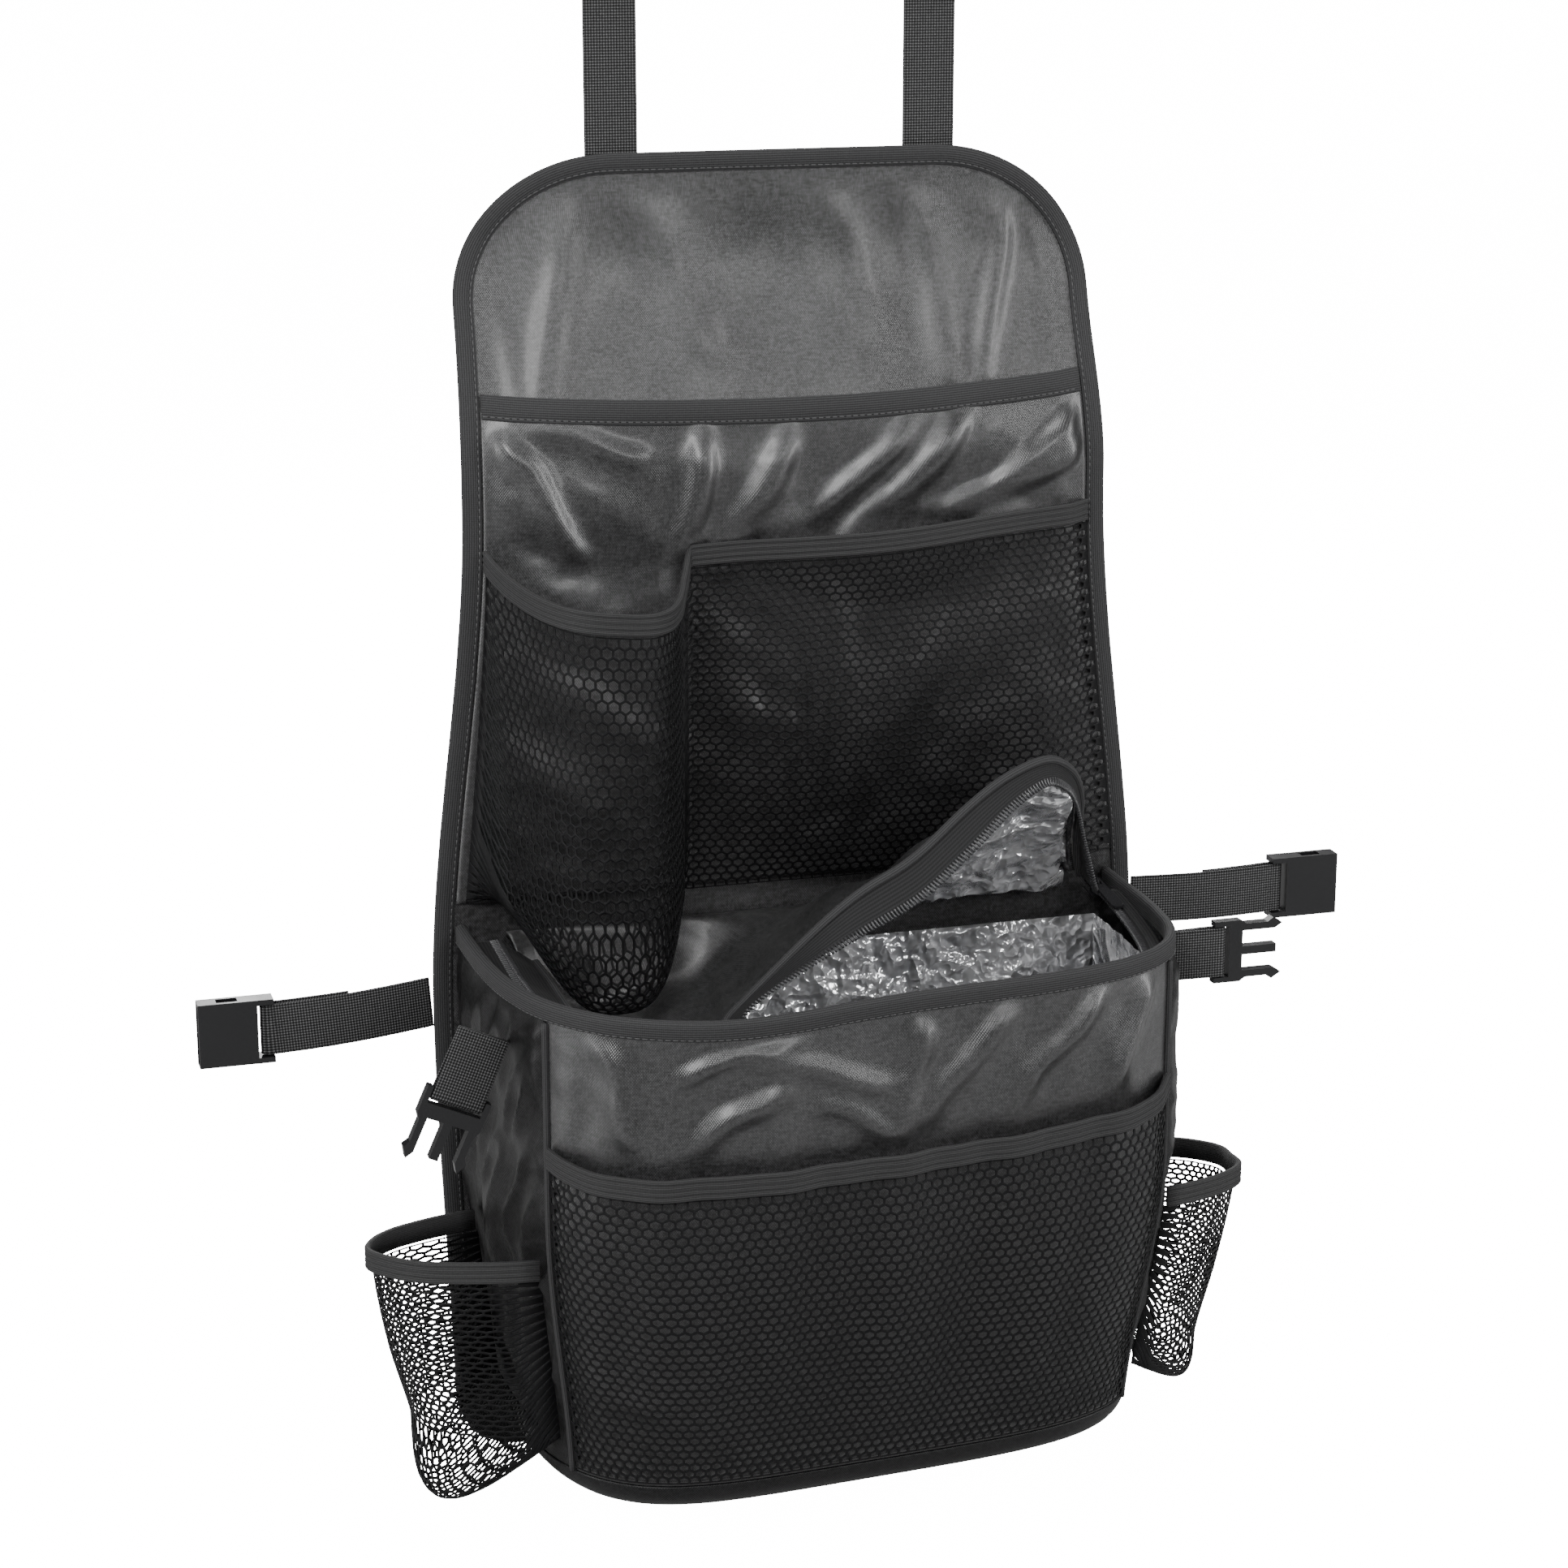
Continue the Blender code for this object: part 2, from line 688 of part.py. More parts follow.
def band_stations(tops, outwards):
    return [(top + Vector((0, 0, -BAND_HEIGHT / 2)), out, Vector((0, 0, 1)))
            for top, out in zip(tops, outwards)]


def band_section():
    """Elastic seen from its end: three ribs on the front, flat at the back."""
    half = BAND_HEIGHT / 2
    rib = BAND_HEIGHT / 3
    groove = ELASTIC * 0.72
    return [(0, -half), (groove, -half), (ELASTIC, -half + rib / 2), (groove, -half + rib),
            (ELASTIC, 0), (groove, half - rib), (ELASTIC, half - rib / 2), (groove, half), (0, half)]


def outward_axes(points, fallback):
    """Level directions square to a line of points, on the side of the fallback."""
    made = []
    for ahead in tangents(points):
        out = Vector((ahead.y, -ahead.x, 0.0))
        if out.length < 0.2:
            out = fallback.copy()
        made.append(out.normalized())
    return made


def upper_pocket_elastic(mat):
    tops = [upper_place(s, 1.0) for s in mesh_shares()]
    outs = outward_axes(tops, Vector((0, -1, 0)))
    sweep("upper_pocket_elastic", band_stations(tops, outs), band_section(), mat)


# Cooler

def plan_curve():
    """The rim seen from above, from the back left corner round the front to the back right."""
    points = []
    for i in range(241):
        turn = math.pi * i / 240
        c, s = math.cos(turn), math.sin(turn)
        power = mix(POWER_RIGHT, POWER_LEFT, (1 + c) / 2)
        x = -COOLER_HALF * math.copysign(abs(c) ** (2 / power), c)
        y = -COOLER_DEPTH * abs(s) ** (2 / power) * (1 - COOLER_SKEW * x / COOLER_HALF)
        points.append(Vector((x, y, 0)))
    return Line(points)


RIM = plan_curve()


def rim_z(share):
    off = (RIM.at(share).x - RIM_SAG_X) / RIM_SAG_REACH
    return COOLER_TOP - RIM_SAG * math.exp(-off * off)


def body(share, z, out=0.0, fold=1.0):
    """A place on the cooler's outside, or moved outwards from it."""
    place = RIM.at(share)
    step = 0.004
    ahead = (RIM.at(min(1, share + step)) - RIM.at(max(0, share - step))).normalized()
    outward = Vector((ahead.y, -ahead.x, 0))
    draw = 1 - smooth(z / TAPER_FROM)
    x = place.x * (1 - TAPER_SIDE * draw)
    y = place.y * (1 - TAPER_FRONT * draw)
    if z < FLOOR_RADIUS:
        drop = 1 - max(0.0, z) / FLOOR_RADIUS
        out -= FLOOR_RADIUS * (1 - math.sqrt(1 - drop * drop))
    middle = smooth((z - 0.030) / 0.040) * smooth((0.236 - z) / 0.040)
    seam = min(abs(share - CORNER_SHARE), abs(share - 1 + CORNER_SHARE), share, 1 - share)
    wave = math.sin(62 * share + 7 * z) + 0.5 * math.sin(131 * share - 16 * z)
    out += fold * WALL_FOLD * middle * smooth(seam / 0.05) * wave / 1.5
    return Vector((x + outward.x * out, y + outward.y * out, z))


def body_back(share, z, out=0.0):
    """As body, but never behind the panel's front face."""
    place = body(share, z, out)
    place.y = min(place.y, COOLER_BACK)
    return place


def towards_ends(t):
    """Moves evenly spaced shares closer together at both ends."""
    return mix(t, smooth(t), 0.6)


def cooler_wall(name, shares, mat):
    levels = [0, 0.14, 0.3, 0.48, 0.66, 0.84, 1]

    def place(share, v):
        top = rim_z(share) - RIM_HEIGHT - GAP
        return body_back(share, mix(PAN_TOP + 2 * GAP, top, v))

    sheet(name, place, shares, levels, WALL, mat, offset=-1.0)


def cooler_walls(side_mat, front_mat):
    seam = GAP / RIM.reach[-1]
    left, right = CORNER_SHARE + seam, 1 - CORNER_SHARE - seam
    front = [mix(left, right, towards_ends(t)) for t in spread(0, 1, 21)]
    cooler_wall("cooler_side_left", spread(SIDE_START, left - 2 * seam, 12), side_mat)
    cooler_wall("cooler_front", front, front_mat)
    cooler_wall("cooler_side_right", spread(right + 2 * seam, 1 - SIDE_START, 12), side_mat)


def bag(name, rings, thickness, mat):
    """A closed-bottomed vessel from level rings, thickened inwards."""
    bm = bmesh.new()
    loops = [[bm.verts.new(p) for p in ring] for ring in rings]
    bm.faces.new(list(reversed(loops[0])))
    for low, high in zip(loops, loops[1:]):
        count = len(low)
        for i in range(count):
            k = (i + 1) % count
            bm.faces.new((low[i], low[k], high[k], high[i]))
    return thicken(shade(add_object(name, bm, mat)), thickness, -1.0)


def cooler_ring(z, out, back, shrink=1.0, shares=25, fold=1.0):
    """A closed level ring: round the front, then straight along the back."""
    ring = []
    for share in spread(0.0, 1.0, shares):
        place = body(share, z, out, fold)
        place.y = min(place.y, back)
        ring.append(place)
    right, left = ring[-1], ring[0]
    ring += [right.lerp(left, t) for t in (0.2, 0.4, 0.6, 0.8)]
    centre = Vector((0, -COOLER_DEPTH / 2, z))
    return [centre + (p - centre) * shrink for p in ring]


def cooler_bottom(mat):
    rings = [cooler_ring(0.0, 0, COOLER_BACK - FLOOR_RADIUS / 3, 0.97)]
    for z in (0.0, 0.0012, 0.0045, 0.009, PAN_TOP - 0.0012, PAN_TOP):
        back = COOLER_BACK - (FLOOR_RADIUS / 3) * (1 - smooth(z / PAN_TOP))
        rings.append(cooler_ring(z, 0, back))
    bag("cooler_bottom", rings, WALL, mat)


def cooler_liner(mat):
    inset = -WALL - WALL_FOLD - GAP
    back = COOLER_BACK - GAP
    base = WALL + GAP + LINER
    rings = [cooler_ring(base, inset - 0.003, back - 0.011, 0.94, fold=0.0)]
    for z in (base, base + 0.004, 0.012, 0.026, 0.080, 0.150, 0.200):
        tuck = 0.011 * (1 - smooth((z - base) / 0.018))
        rings.append(cooler_ring(z, inset - tuck * 0.3, back - WALL - tuck, fold=0.0))
    top = [Vector((p.x, p.y, COOLER_TOP - RIM_SAG - LINER_DROP)) for p in
           cooler_ring(0.232, inset, back - WALL, fold=0.0)]
    bag("cooler_liner", rings + [top], LINER, mat)


def cooler_rim_binding(mat):
    frames = []
    for share in spread(0.006, 0.994, 49):
        place = body_back(share, rim_z(share) - RIM_HEIGHT / 2, -WALL / 2)
        ahead = RIM.at(min(1, share + 0.006)) - RIM.at(max(0, share - 0.006))
        frames.append((place, Vector((ahead.y, -ahead.x, 0)).normalized(), Vector((0, 0, 1))))
    frames[0][0].y = frames[-1][0].y = COOLER_BACK - GAP
    section = bar_section(RIM_THICK / 2, RIM_HEIGHT / 2, 0.0014)
    sweep("cooler_rim_binding", frames, section, mat)


# Zip

def zip_z(share):
    """Height of the zip tape round the rim: it rises to the rim at the back."""
    away = smooth((min(share, 1 - share) - 0.02) / 0.16)
    return rim_z(share) - mix(ZIP_DROP_BACK, ZIP_DROP_FRONT, away)


TAPE_OUT = -WALL / 2 - RIM_THICK / 2 - GAP
RIM_COIL_OUT = TAPE_OUT - ZIP_TAPE_WIDTH - GAP - COIL_RADIUS
LID_COIL_OUT = RIM_COIL_OUT - 2 * COIL_RADIUS - GAP


def zip_tape_rim(mat):
    def place(share, v):
        return body(share, zip_z(share), TAPE_OUT - ZIP_TAPE_WIDTH * (1 - v))

    sheet("zip_tape_rim", place, spread(ZIP_START, ZIP_END, 37), [0, 1], TAPE, mat, offset=0.0)


def coil(name, points, mat):
    frames = cord_stations(points, Vector((0, 0, 1)))
    sweep(name, frames, round_section(COIL_RADIUS, 4), mat)


def zip_coil_rim(mat):
    coil("zip_coil_rim", [body(share, zip_z(share), RIM_COIL_OUT)
                          for share in spread(ZIP_START, ZIP_END, 37)], mat)


def lid_chain():
    """The lid's zip edge: closed along the rim at the left, then lifted."""
    closed = [body(share, zip_z(share), LID_COIL_OUT)
              for share in spread(ZIP_START, ZIP_CLOSED_TO, 9)]
    return Line(smooth_curve(closed + [Vector(p) for p in LIFTED_EDGE]))


CHAIN = lid_chain()


def lifted(share):
    """0 where the lid lies closed, 1 where it is raised, along its zip edge."""
    return smooth((share - 0.40) / 0.16)


def lid_edge(share):
    """The lid's piping: inside the zip where it is closed, behind and above where raised."""
    place = CHAIN.at(share)
    inward = Vector((POUCH_X * 0.8, -0.060, place.z)) - place
    closed = place + inward.normalized() * LID_SKIRT + Vector((0, 0, -LID_PRESSED))
    raised = place + Vector((-0.10, 0.66, 0.74)).normalized() * LID_SKIRT
    crest = place + Vector((0.20, 0.45, 0.87)).normalized() * LID_SKIRT * 0.55
    ending = place + Vector((-0.50, 0.10, 0.60)).normalized() * LID_SKIRT * 0.7
    edge = closed.lerp(raised, lifted(share)).lerp(crest, smooth((share - 0.66) / 0.16))
    return edge.lerp(ending, smooth((share - 0.86) / 0.14))


def lid_place(share, v):
    """The lid's upper face: v runs from the hinge to the piping."""
    edge = lid_edge(share)
    hinge = Vector((mix(-LID_HINGE_HALF, LID_HINGE_HALF, smooth_share(share)),
                    COOLER_BACK - GAP - 0.0018, LID_HINGE_Z))
    across = edge - hinge
    along = (lid_edge(min(1, share + 0.01)) - lid_edge(max(0, share - 0.01))).normalized()
    inset = (PIPING_RADIUS + 2 * GAP) / max(0.006, across.cross(along).length)
    place = hinge.lerp(edge, v * (1 - inset))
    off = Vector((place.x - POUCH_X, place.y - LID_DENT_Y)).length / LID_DENT_RADIUS
    from_hinge = smooth((hinge.y - place.y) / LID_DENT_RAMP)
    place.z -= LID_DENT * math.exp(-off * off) * from_hinge * smooth((1.25 - v) / 0.6)
    puff = 0.006 * lifted(share) * math.sin(math.pi * v)
    ripple = 0.0016 * math.sin(46 * share + 5 * v) * math.sin(math.pi * v)
    return place + Vector((0, 0.3, 0.95)) * (puff + ripple)


def smooth_share(share):
    """Spreads the hinge side of the lid's cloth against its edge."""
    return mix(share, smooth(share), 0.35)


def lid_normal(share, v):
    step = 0.01
    a = lid_place(min(1, share + step), v) - lid_place(max(0, share - step), v)
    b = lid_place(share, min(1, v + step)) - lid_place(share, max(0, v - step))
    return b.cross(a).normalized()


LID_COLUMNS = spread(0.012, 0.985, 27)
LID_ROWS = spread(0, 1, 9)


def lid(mat):
    sheet("lid", lid_place, LID_COLUMNS, LID_ROWS, LID_THICK, mat)


def lid_liner(mat):
    def place(share, v):
        return lid_place(share, v) - lid_normal(share, v) * (LID_THICK + 3 * GAP)

    sheet("lid_liner", place, LID_COLUMNS[1:-1], LID_ROWS[1:-1], LINER, mat)


def lid_binding(mat):
    points = [lid_edge(share) for share in spread(0.0, 1.0, 45)]
    piping = round_section(PIPING_RADIUS, 6)
    sweep("lid_binding", cord_stations(points, Vector((0, 0, 1))), piping, mat)


def zip_tape_lid(mat):
    def place(share, v):
        near, far = CHAIN.at(share), lid_edge(share)
        along = (CHAIN.at(min(1, share + 0.01)) - CHAIN.at(max(0, share - 0.01))).normalized()
        wide = max(0.006, (far - near).cross(along).length)
        first = (COIL_RADIUS + TAPE / 2 + GAP) / wide
        last = 1 - (PIPING_RADIUS + TAPE / 2 + GAP) / wide
        return near.lerp(far, mix(first, last, v))

    sheet("zip_tape_lid", place, spread(0.0, 1.0, 45), [0, 0.5, 1], TAPE, mat, offset=0.0)


def zip_coil_lid(mat):
    coil("zip_coil_lid", [CHAIN.at(share) for share in spread(0.0, 1.0, 45)], mat)


# Front and side mesh pockets

FRONT_FROM = CORNER_SHARE + 0.004       # share of the rim where the front pocket starts


def front_top(share):
    off = (share - 0.5) / (0.5 - CORNER_SHARE)
    lift = FRONT_RISE * smooth((off + 0.2) / 1.2)
    return FRONT_TOP - FRONT_DIP * (1 - off ** 6) + lift


def front_place(share, v, drop=0.0):
    z = mix(FRONT_BOTTOM + GAP, front_top(share) - drop, v)
    edge = smooth((min(share - CORNER_SHARE, 1 - CORNER_SHARE - share)) / 0.05)
    swell = math.sin(math.pi * v) ** 0.7 * (0.75 + 0.25 * math.sin(40 * share))
    bulge = FRONT_BULGE * edge * (swell + FRONT_MOUTH * v)
    return body(share, z, GAP * 2 + bulge)


def front_mesh_pocket(mat):
    def place(s, v):
        return front_place(mix(FRONT_FROM, 1 - FRONT_FROM, s), v, BAND_HEIGHT + GAP)

    net("front_mesh_pocket", place, FRONT_COLUMNS, spread(0, 1, FRONT_ROWS + 1), mat)


def front_pocket_elastic(mat):
    shares = spread(FRONT_FROM, 1 - FRONT_FROM, 2 * FRONT_COLUMNS + 1)
    tops = [front_place(share, 1.0) for share in shares]
    outs = outward_axes(tops, Vector((0, -1, 0)))
    sweep("front_pocket_elastic", band_stations(tops, outs), band_section(), mat)


def side_place(side, s, v, drop=0.0):
    """A side pocket's mesh: s runs from the panel to the front seam, v upwards."""
    share = mix(SIDE_FROM_SHARE, SIDE_TO_SHARE, s)
    reach_full = SIDE_REACH_LEFT if side < 0 else SIDE_REACH_RIGHT
    sag = SIDE_SAG_LEFT if side < 0 else SIDE_SAG_RIGHT
    off = abs(2 * s - 1)
    depth = reach_full * (1 - off ** 2.4) ** 0.75
    top = SIDE_TOP - drop + SIDE_RISE * (2 * s - 1)
    down = 1 - v
    if down < POUCH_SHARE:
        z = mix(top, SIDE_LOW, down / POUCH_SHARE)
        reach = depth * (1 - SIDE_TAPER * (down / POUCH_SHARE) ** 2)
    else:
        part = (down - POUCH_SHARE) / (1 - POUCH_SHARE)
        reach = depth * (1 - SIDE_TAPER) * (1 - part ** BOTTOM_POWER)
        z = SIDE_LOW - sag * (depth / reach_full) ** 1.3 * bottom_drop(part)
    z = mix(mix(top, SIDE_LOW, down), z, smooth(depth / (0.3 * reach_full)))
    base = body(share if side < 0 else 1 - share, max(z, SIDE_LOW), GAP + WALL_FOLD)
    return Vector((base.x + side * reach, base.y, z))


def side_mesh_pocket(name, side, mat):
    def place(s, v):
        return side_place(side, s if side < 0 else 1 - s, v, BAND_HEIGHT + GAP)

    net(name, place, SIDE_COLUMNS, SIDE_LEVELS, mat)


def side_pocket_elastic(name, side, mat):
    tops = [side_place(side, s if side < 0 else 1 - s, 1.0)
            for s in spread(0, 1, 2 * SIDE_COLUMNS + 1)]
    outs = outward_axes(tops, Vector((side, 0, 0)))
    sweep(name, band_stations(tops, outs), band_section(), mat)


# Straps

LOOP_BEHIND = 2 * GAP + WEBBING / 2             # webbing's middle behind the binding, flush with the back
SLIDE_Z = LOOP_TOP - LOOP_HEIGHT                # foot of the slide that closes the loop


def headrest_strap(name, side, mat):
    """Sewn behind the top of the panel, up, over in a loop and down again."""
    x = side * HEADREST_X
    front = lean(LOOP_TOP) + LOOP_BEHIND
    rear = front + 2 * LOOP_RADIUS
    turn_z = LOOP_TOP - LOOP_RADIUS
    foot = PANEL_TOP - BINDING_WIDTH - STRAP_SEWN
    slide_top = SLIDE_Z + SLIDE_HEIGHT
    points = [Vector((x, lean(z) + LOOP_BEHIND, z)) for z in spread(foot, PANEL_TOP, 4)]
    points += [Vector((x, lean(z) + LOOP_BEHIND, z)) for z in spread(PANEL_TOP, turn_z, 6)[1:]]
    for i in range(1, 8):
        turn = math.pi * i / 8
        points.append(Vector((x, front + LOOP_RADIUS * (1 - math.cos(turn)),
                              turn_z + LOOP_RADIUS * math.sin(turn))))
    for z in spread(turn_z, slide_top, 6):
        near = front + WEBBING + GAP
        points.append(Vector((x, mix(near, rear, smooth((z - slide_top) / (turn_z - slide_top))), z)))
    for z in spread(slide_top, foot, 7)[1:]:
        points.append(Vector((x, lean(z) + LOOP_BEHIND + WEBBING + GAP, z)))
    ribbon(name, points, [Vector((1, 0, 0))] * len(points), mat)


def headrest_slide(name, side, mat):
    """A flat slide round both runs of a headrest strap, at the foot of its loop."""
    x = side * HEADREST_X
    y = lean(SLIDE_Z) + LOOP_BEHIND + (WEBBING + GAP) / 2
    inner = WEBBING + 2 * GAP
    plate = box(name, (x - BUCKLE_HALF, y - inner - SHELL, SLIDE_Z),
                (x + BUCKLE_HALF, y + inner + SHELL, SLIDE_Z + SLIDE_HEIGHT), mat)
    hole = box(name + "_hole", (x - SLOT_HALF, y - inner, SLIDE_Z - SHELL),
               (x + SLOT_HALF, y + inner, SLIDE_Z + SLIDE_HEIGHT + SHELL), mat, CUTTERS)
    cut(plate, hole)
    round_edges(plate, 0.0007)


def looped_webbing(name, line, aheads, normal, tail, mat):
    """Webbing along a middle line to a buckle's bar, round the bar and back over tail points."""
    spans = len(line) - 1
    near_bar = BAR_THICK / 2 + GAP + WEBBING / 2
    together = WEBBING / 2 + GAP

    def layer(i, sign):
        return line[i] + normal * sign * mix(together, near_bar, smooth(i / spans))

    points = [layer(i, 1) for i in range(spans + 1)]
    flats = [normal.cross(ahead) for ahead in aheads]
    end, ahead = line[-1], aheads[-1]
    reach = BAR / 2 + SLOT_LENGTH / 2
    for out, up in ((BAR / 2, 1), (reach, 0.55), (reach, -0.55), (BAR / 2, -1)):
        points.append(end + ahead * out + normal * near_bar * up)
        flats.append(flats[-1])
    for i in range(spans, spans - tail - 1, -1):
        points.append(layer(i, -1))
        flats.append(normal.cross(aheads[i]))
    return ribbon(name, points, flats, mat)


def waist_line(side):
    z = WAIST_LEFT_Z if side < 0 else WAIST_RIGHT_Z
    edge = max(panel_half(z + rise) for rise in (-WEBBING_WIDTH / 2, 0, WEBBING_WIDTH / 2))
    drop = WAIST_FALL if side < 0 else 0.0
    turned = WEBBING_WIDTH / 2 * drop / (WAIST_REACH - edge)
    start = edge + TAPE + 1.75 * GAP + turned
    line = []
    for t in spread(0, 1, 9):
        bow = 0.003 * math.sin(math.pi * t)
        place = Vector((side * mix(start, WAIST_REACH, t), -PANEL_THICK / 2 - bow, z - drop * t))
        line.append(place)
    return line


def waist_strap(name, side, mat):
    """From the panel's edge straight out to its buckle, and back a short way."""
    line = waist_line(side)
    aheads = [Vector((side, 0, 0))] * len(line)
    looped_webbing(name, line, aheads, Vector((0, -1, 0)), 4, mat)


def tab_line(side):
    """The middle of a side tab: straight out at the right, hanging by its corner at the left."""
    if side > 0:
        start = body(TAB_RIGHT_SHARE, TAB_RIGHT_Z, 2 * GAP)
        line = [start + Vector((t * TAB_LENGTH, 0, 0)) for t in spread(0, 1, 6)]
        return line, [Vector((1, 0, 0))] * len(line)
    corner = body(TAB_LEFT_SHARE, TAB_LEFT_Z, 2 * GAP)
    ahead = Vector((-math.cos(TAB_LEFT_FALL), 0, -math.sin(TAB_LEFT_FALL)))
    start = corner + Vector((ahead.z, 0, -ahead.x)) * (WEBBING_WIDTH / 2)
    line = [start + ahead * TAB_LENGTH * t for t in spread(0, 1, 6)]
    return line, [ahead] * len(line)


def side_tab(name, side, mat):
    line, aheads = tab_line(side)
    looped_webbing(name, line, aheads, Vector((0, -1, 0)), len(line) - 1, mat)


# Buckles

def stand(obj, place, ahead, normal):
    """Turns a piece so that its X lies along ahead, its Y across and its Z along normal."""
    frame = Matrix((ahead, normal.cross(ahead), normal)).transposed().to_4x4()
    frame.translation = place
    obj.matrix_world = frame


def plate(name, outline, thickness, mat):
    """A flat piece from its outline seen from above."""
    bm = bmesh.new()
    face = bm.faces.new([bm.verts.new((a, b, -thickness / 2)) for a, b in outline])
    grown = bmesh.ops.extrude_face_region(bm, geom=[face])
    for vert in grown["geom"]:
        if isinstance(vert, bmesh.types.BMVert):
            vert.co.z += thickness
    bmesh.ops.recalc_face_normals(bm, faces=bm.faces[:])
    return add_object(name, bm, mat)


def bar_cutters(name, mat):
    """The webbing's slot, and the room over and under the bar."""
    return [
        box(name + "_slot", (BAR / 2, -SLOT_HALF, -CUT_REACH),
            (BAR / 2 + SLOT_LENGTH, SLOT_HALF, CUT_REACH), mat, CUTTERS),
        box(name + "_over_bar", (-CUT_REACH, -SLOT_HALF, BAR_THICK / 2),
            (BAR, SLOT_HALF, CUT_REACH), mat, CUTTERS),
        box(name + "_under_bar", (-CUT_REACH, -SLOT_HALF, -CUT_REACH),
            (BAR, SLOT_HALF, -BAR_THICK / 2), mat, CUTTERS),
    ]


def buckle_male(name, place, ahead, normal, mat):
    """The half with the prongs, its bar at the place and its prongs pointing ahead."""
    back = BAR / 2 + SLOT_LENGTH + NECK
    tip = back + PRONG_LENGTH
    arm = BUCKLE_HALF - PRONG_WIDTH * 1.3
    outline = [(-BAR / 2, BUCKLE_HALF), (back, BUCKLE_HALF), (back + 0.003, BUCKLE_HALF - 0.002),
               (tip - 0.008, BUCKLE_HALF - 0.002), (tip - 0.005, BUCKLE_HALF),
               (tip, BUCKLE_HALF - 0.003), (tip - 0.004, arm), (back + 0.001, arm),
               (back + 0.001, PRONG_WIDTH / 2), (tip - 0.003, PRONG_WIDTH / 2)]
    outline += [(a, -b) for a, b in reversed(outline)]
    half = plate(name, outline, BUCKLE_THICK, mat)
    tools = bar_cutters(name, mat)
    for piece in [half] + tools:
        stand(piece, place, ahead, normal)
    for tool in tools:
        cut(half, tool)


def buckle_female(name, place, ahead, normal, mat):
    """The socket half, its bar at the place and its mouth facing ahead."""
    wall = BAR / 2 + SLOT_LENGTH + NECK / 2
    mouth = wall + SOCKET_LENGTH
    inner = SOCKET_THICK / 2 - SHELL
    shell = box(name, (-BAR / 2, -BUCKLE_HALF, -SOCKET_THICK / 2),
                (mouth, BUCKLE_HALF, SOCKET_THICK / 2), mat)
    tools = bar_cutters(name, mat)
    tools.append(box(name + "_cavity", (wall, -BUCKLE_HALF + SHELL, -inner),
                     (mouth + CUT_REACH, BUCKLE_HALF - SHELL, inner), mat, CUTTERS))
    tools.append(box(name + "_windows", (wall + WINDOW_FROM, -2 * BUCKLE_HALF, -inner + GAP),
                     (wall + WINDOW_TO, 2 * BUCKLE_HALF, inner - GAP), mat, CUTTERS))
    for piece in [shell] + tools:
        stand(piece, place, ahead, normal)
    for tool in tools:
        cut(shell, tool)


def buckles(mat):
    normal = Vector((0, -1, 0))
    for side, name in ((-1, "left"), (1, "right")):
        line = waist_line(side)
        buckle_female("buckle_female_" + name, line[-1], Vector((side, 0, 0)), normal, mat)
        line, aheads = tab_line(side)
        buckle_male("buckle_male_" + name, line[-1], aheads[-1], normal, mat)


# Zip slider and pull

def slider_frame():
    """Where the slider's middle is, with its pull's direction and its upward direction."""
    rim = body(SLIDER_SHARE, COOLER_TOP, (RIM_COIL_OUT + LID_COIL_OUT) / 2 + SLIDER_SHIFT)
    place = Vector((rim.x, rim.y, zip_z(SLIDER_SHARE)))
    ahead = Vector((0, -math.cos(SLIDER_TILT), -math.sin(SLIDER_TILT)))
    return place, ahead, Vector((0, -math.sin(SLIDER_TILT), math.cos(SLIDER_TILT)))


def zip_slider(mat):
    place, ahead, upward = slider_frame()
    half_long, half_wide, half_high = SLIDER_LENGTH / 2, SLIDER_WIDTH / 2, SLIDER_HEIGHT / 2
    top = box("zip_slider", (-half_long, -half_wide, half_high - SLIDER_PLATE),
              (half_long, half_wide, half_high), mat)
    low = box("slider_low", (-half_long, -half_wide, -half_high),
              (half_long, half_wide, SLIDER_PLATE - half_high), mat, CUTTERS)
    post = box("slider_post", (-half_long, -COIL_RADIUS / 2, -half_high + SLIDER_PLATE / 2),
               (-half_long / 2, COIL_RADIUS / 2, half_high - SLIDER_PLATE / 2), mat, CUTTERS)
    reach = half_long * 0.75
    arch = []
    for i in range(9):
        turn = math.pi * i / 8
        arch.append(Vector((-reach * math.cos(turn), 0, half_high - SLIDER_PLATE / 2
                            + (BAIL_HEIGHT + SLIDER_PLATE / 2) * math.sin(turn) ** 0.7)))
    wire = round_section(BAIL_WIRE, 6)
    bail = sweep("slider_bail", cord_stations(arch, Vector((0, 1, 0))), wire, mat)
    PARTS.objects.unlink(bail)
    CUTTERS.objects.link(bail)
    bail.hide_render = True
    bail.display_type = "WIRE"
    for piece in (top, low, post, bail):
        stand(piece, place, ahead, upward)
    for tool in (post, low, bail):
        cut(top, tool, "UNION")


def zip_pull(mat):
    """A flat tab whose end bar lies under the slider's bail."""
    place, ahead, upward = slider_frame()
    hinge = place + upward * (SLIDER_HEIGHT / 2 + PULL_LIFT)
    end = PULL_THICK / 2
    outline = [(-end, PULL_WIDTH * 0.40), (PULL_LENGTH * 0.25, PULL_WIDTH * 0.40),
               (PULL_LENGTH * 0.45, PULL_WIDTH / 2), (PULL_LENGTH * 0.93, PULL_WIDTH / 2),
               (PULL_LENGTH, PULL_WIDTH * 0.28)]
    outline += [(a, -b) for a, b in reversed(outline)]
    pull = plate("zip_pull", outline, PULL_THICK, mat)
    eye = box("pull_eye", (end, -PULL_EYE, -CUT_REACH),
              (end + PULL_EYE_LENGTH, PULL_EYE, CUT_REACH), mat, CUTTERS)
    for piece in (pull, eye):
        stand(piece, hinge, ahead, upward)
    cut(pull, eye)


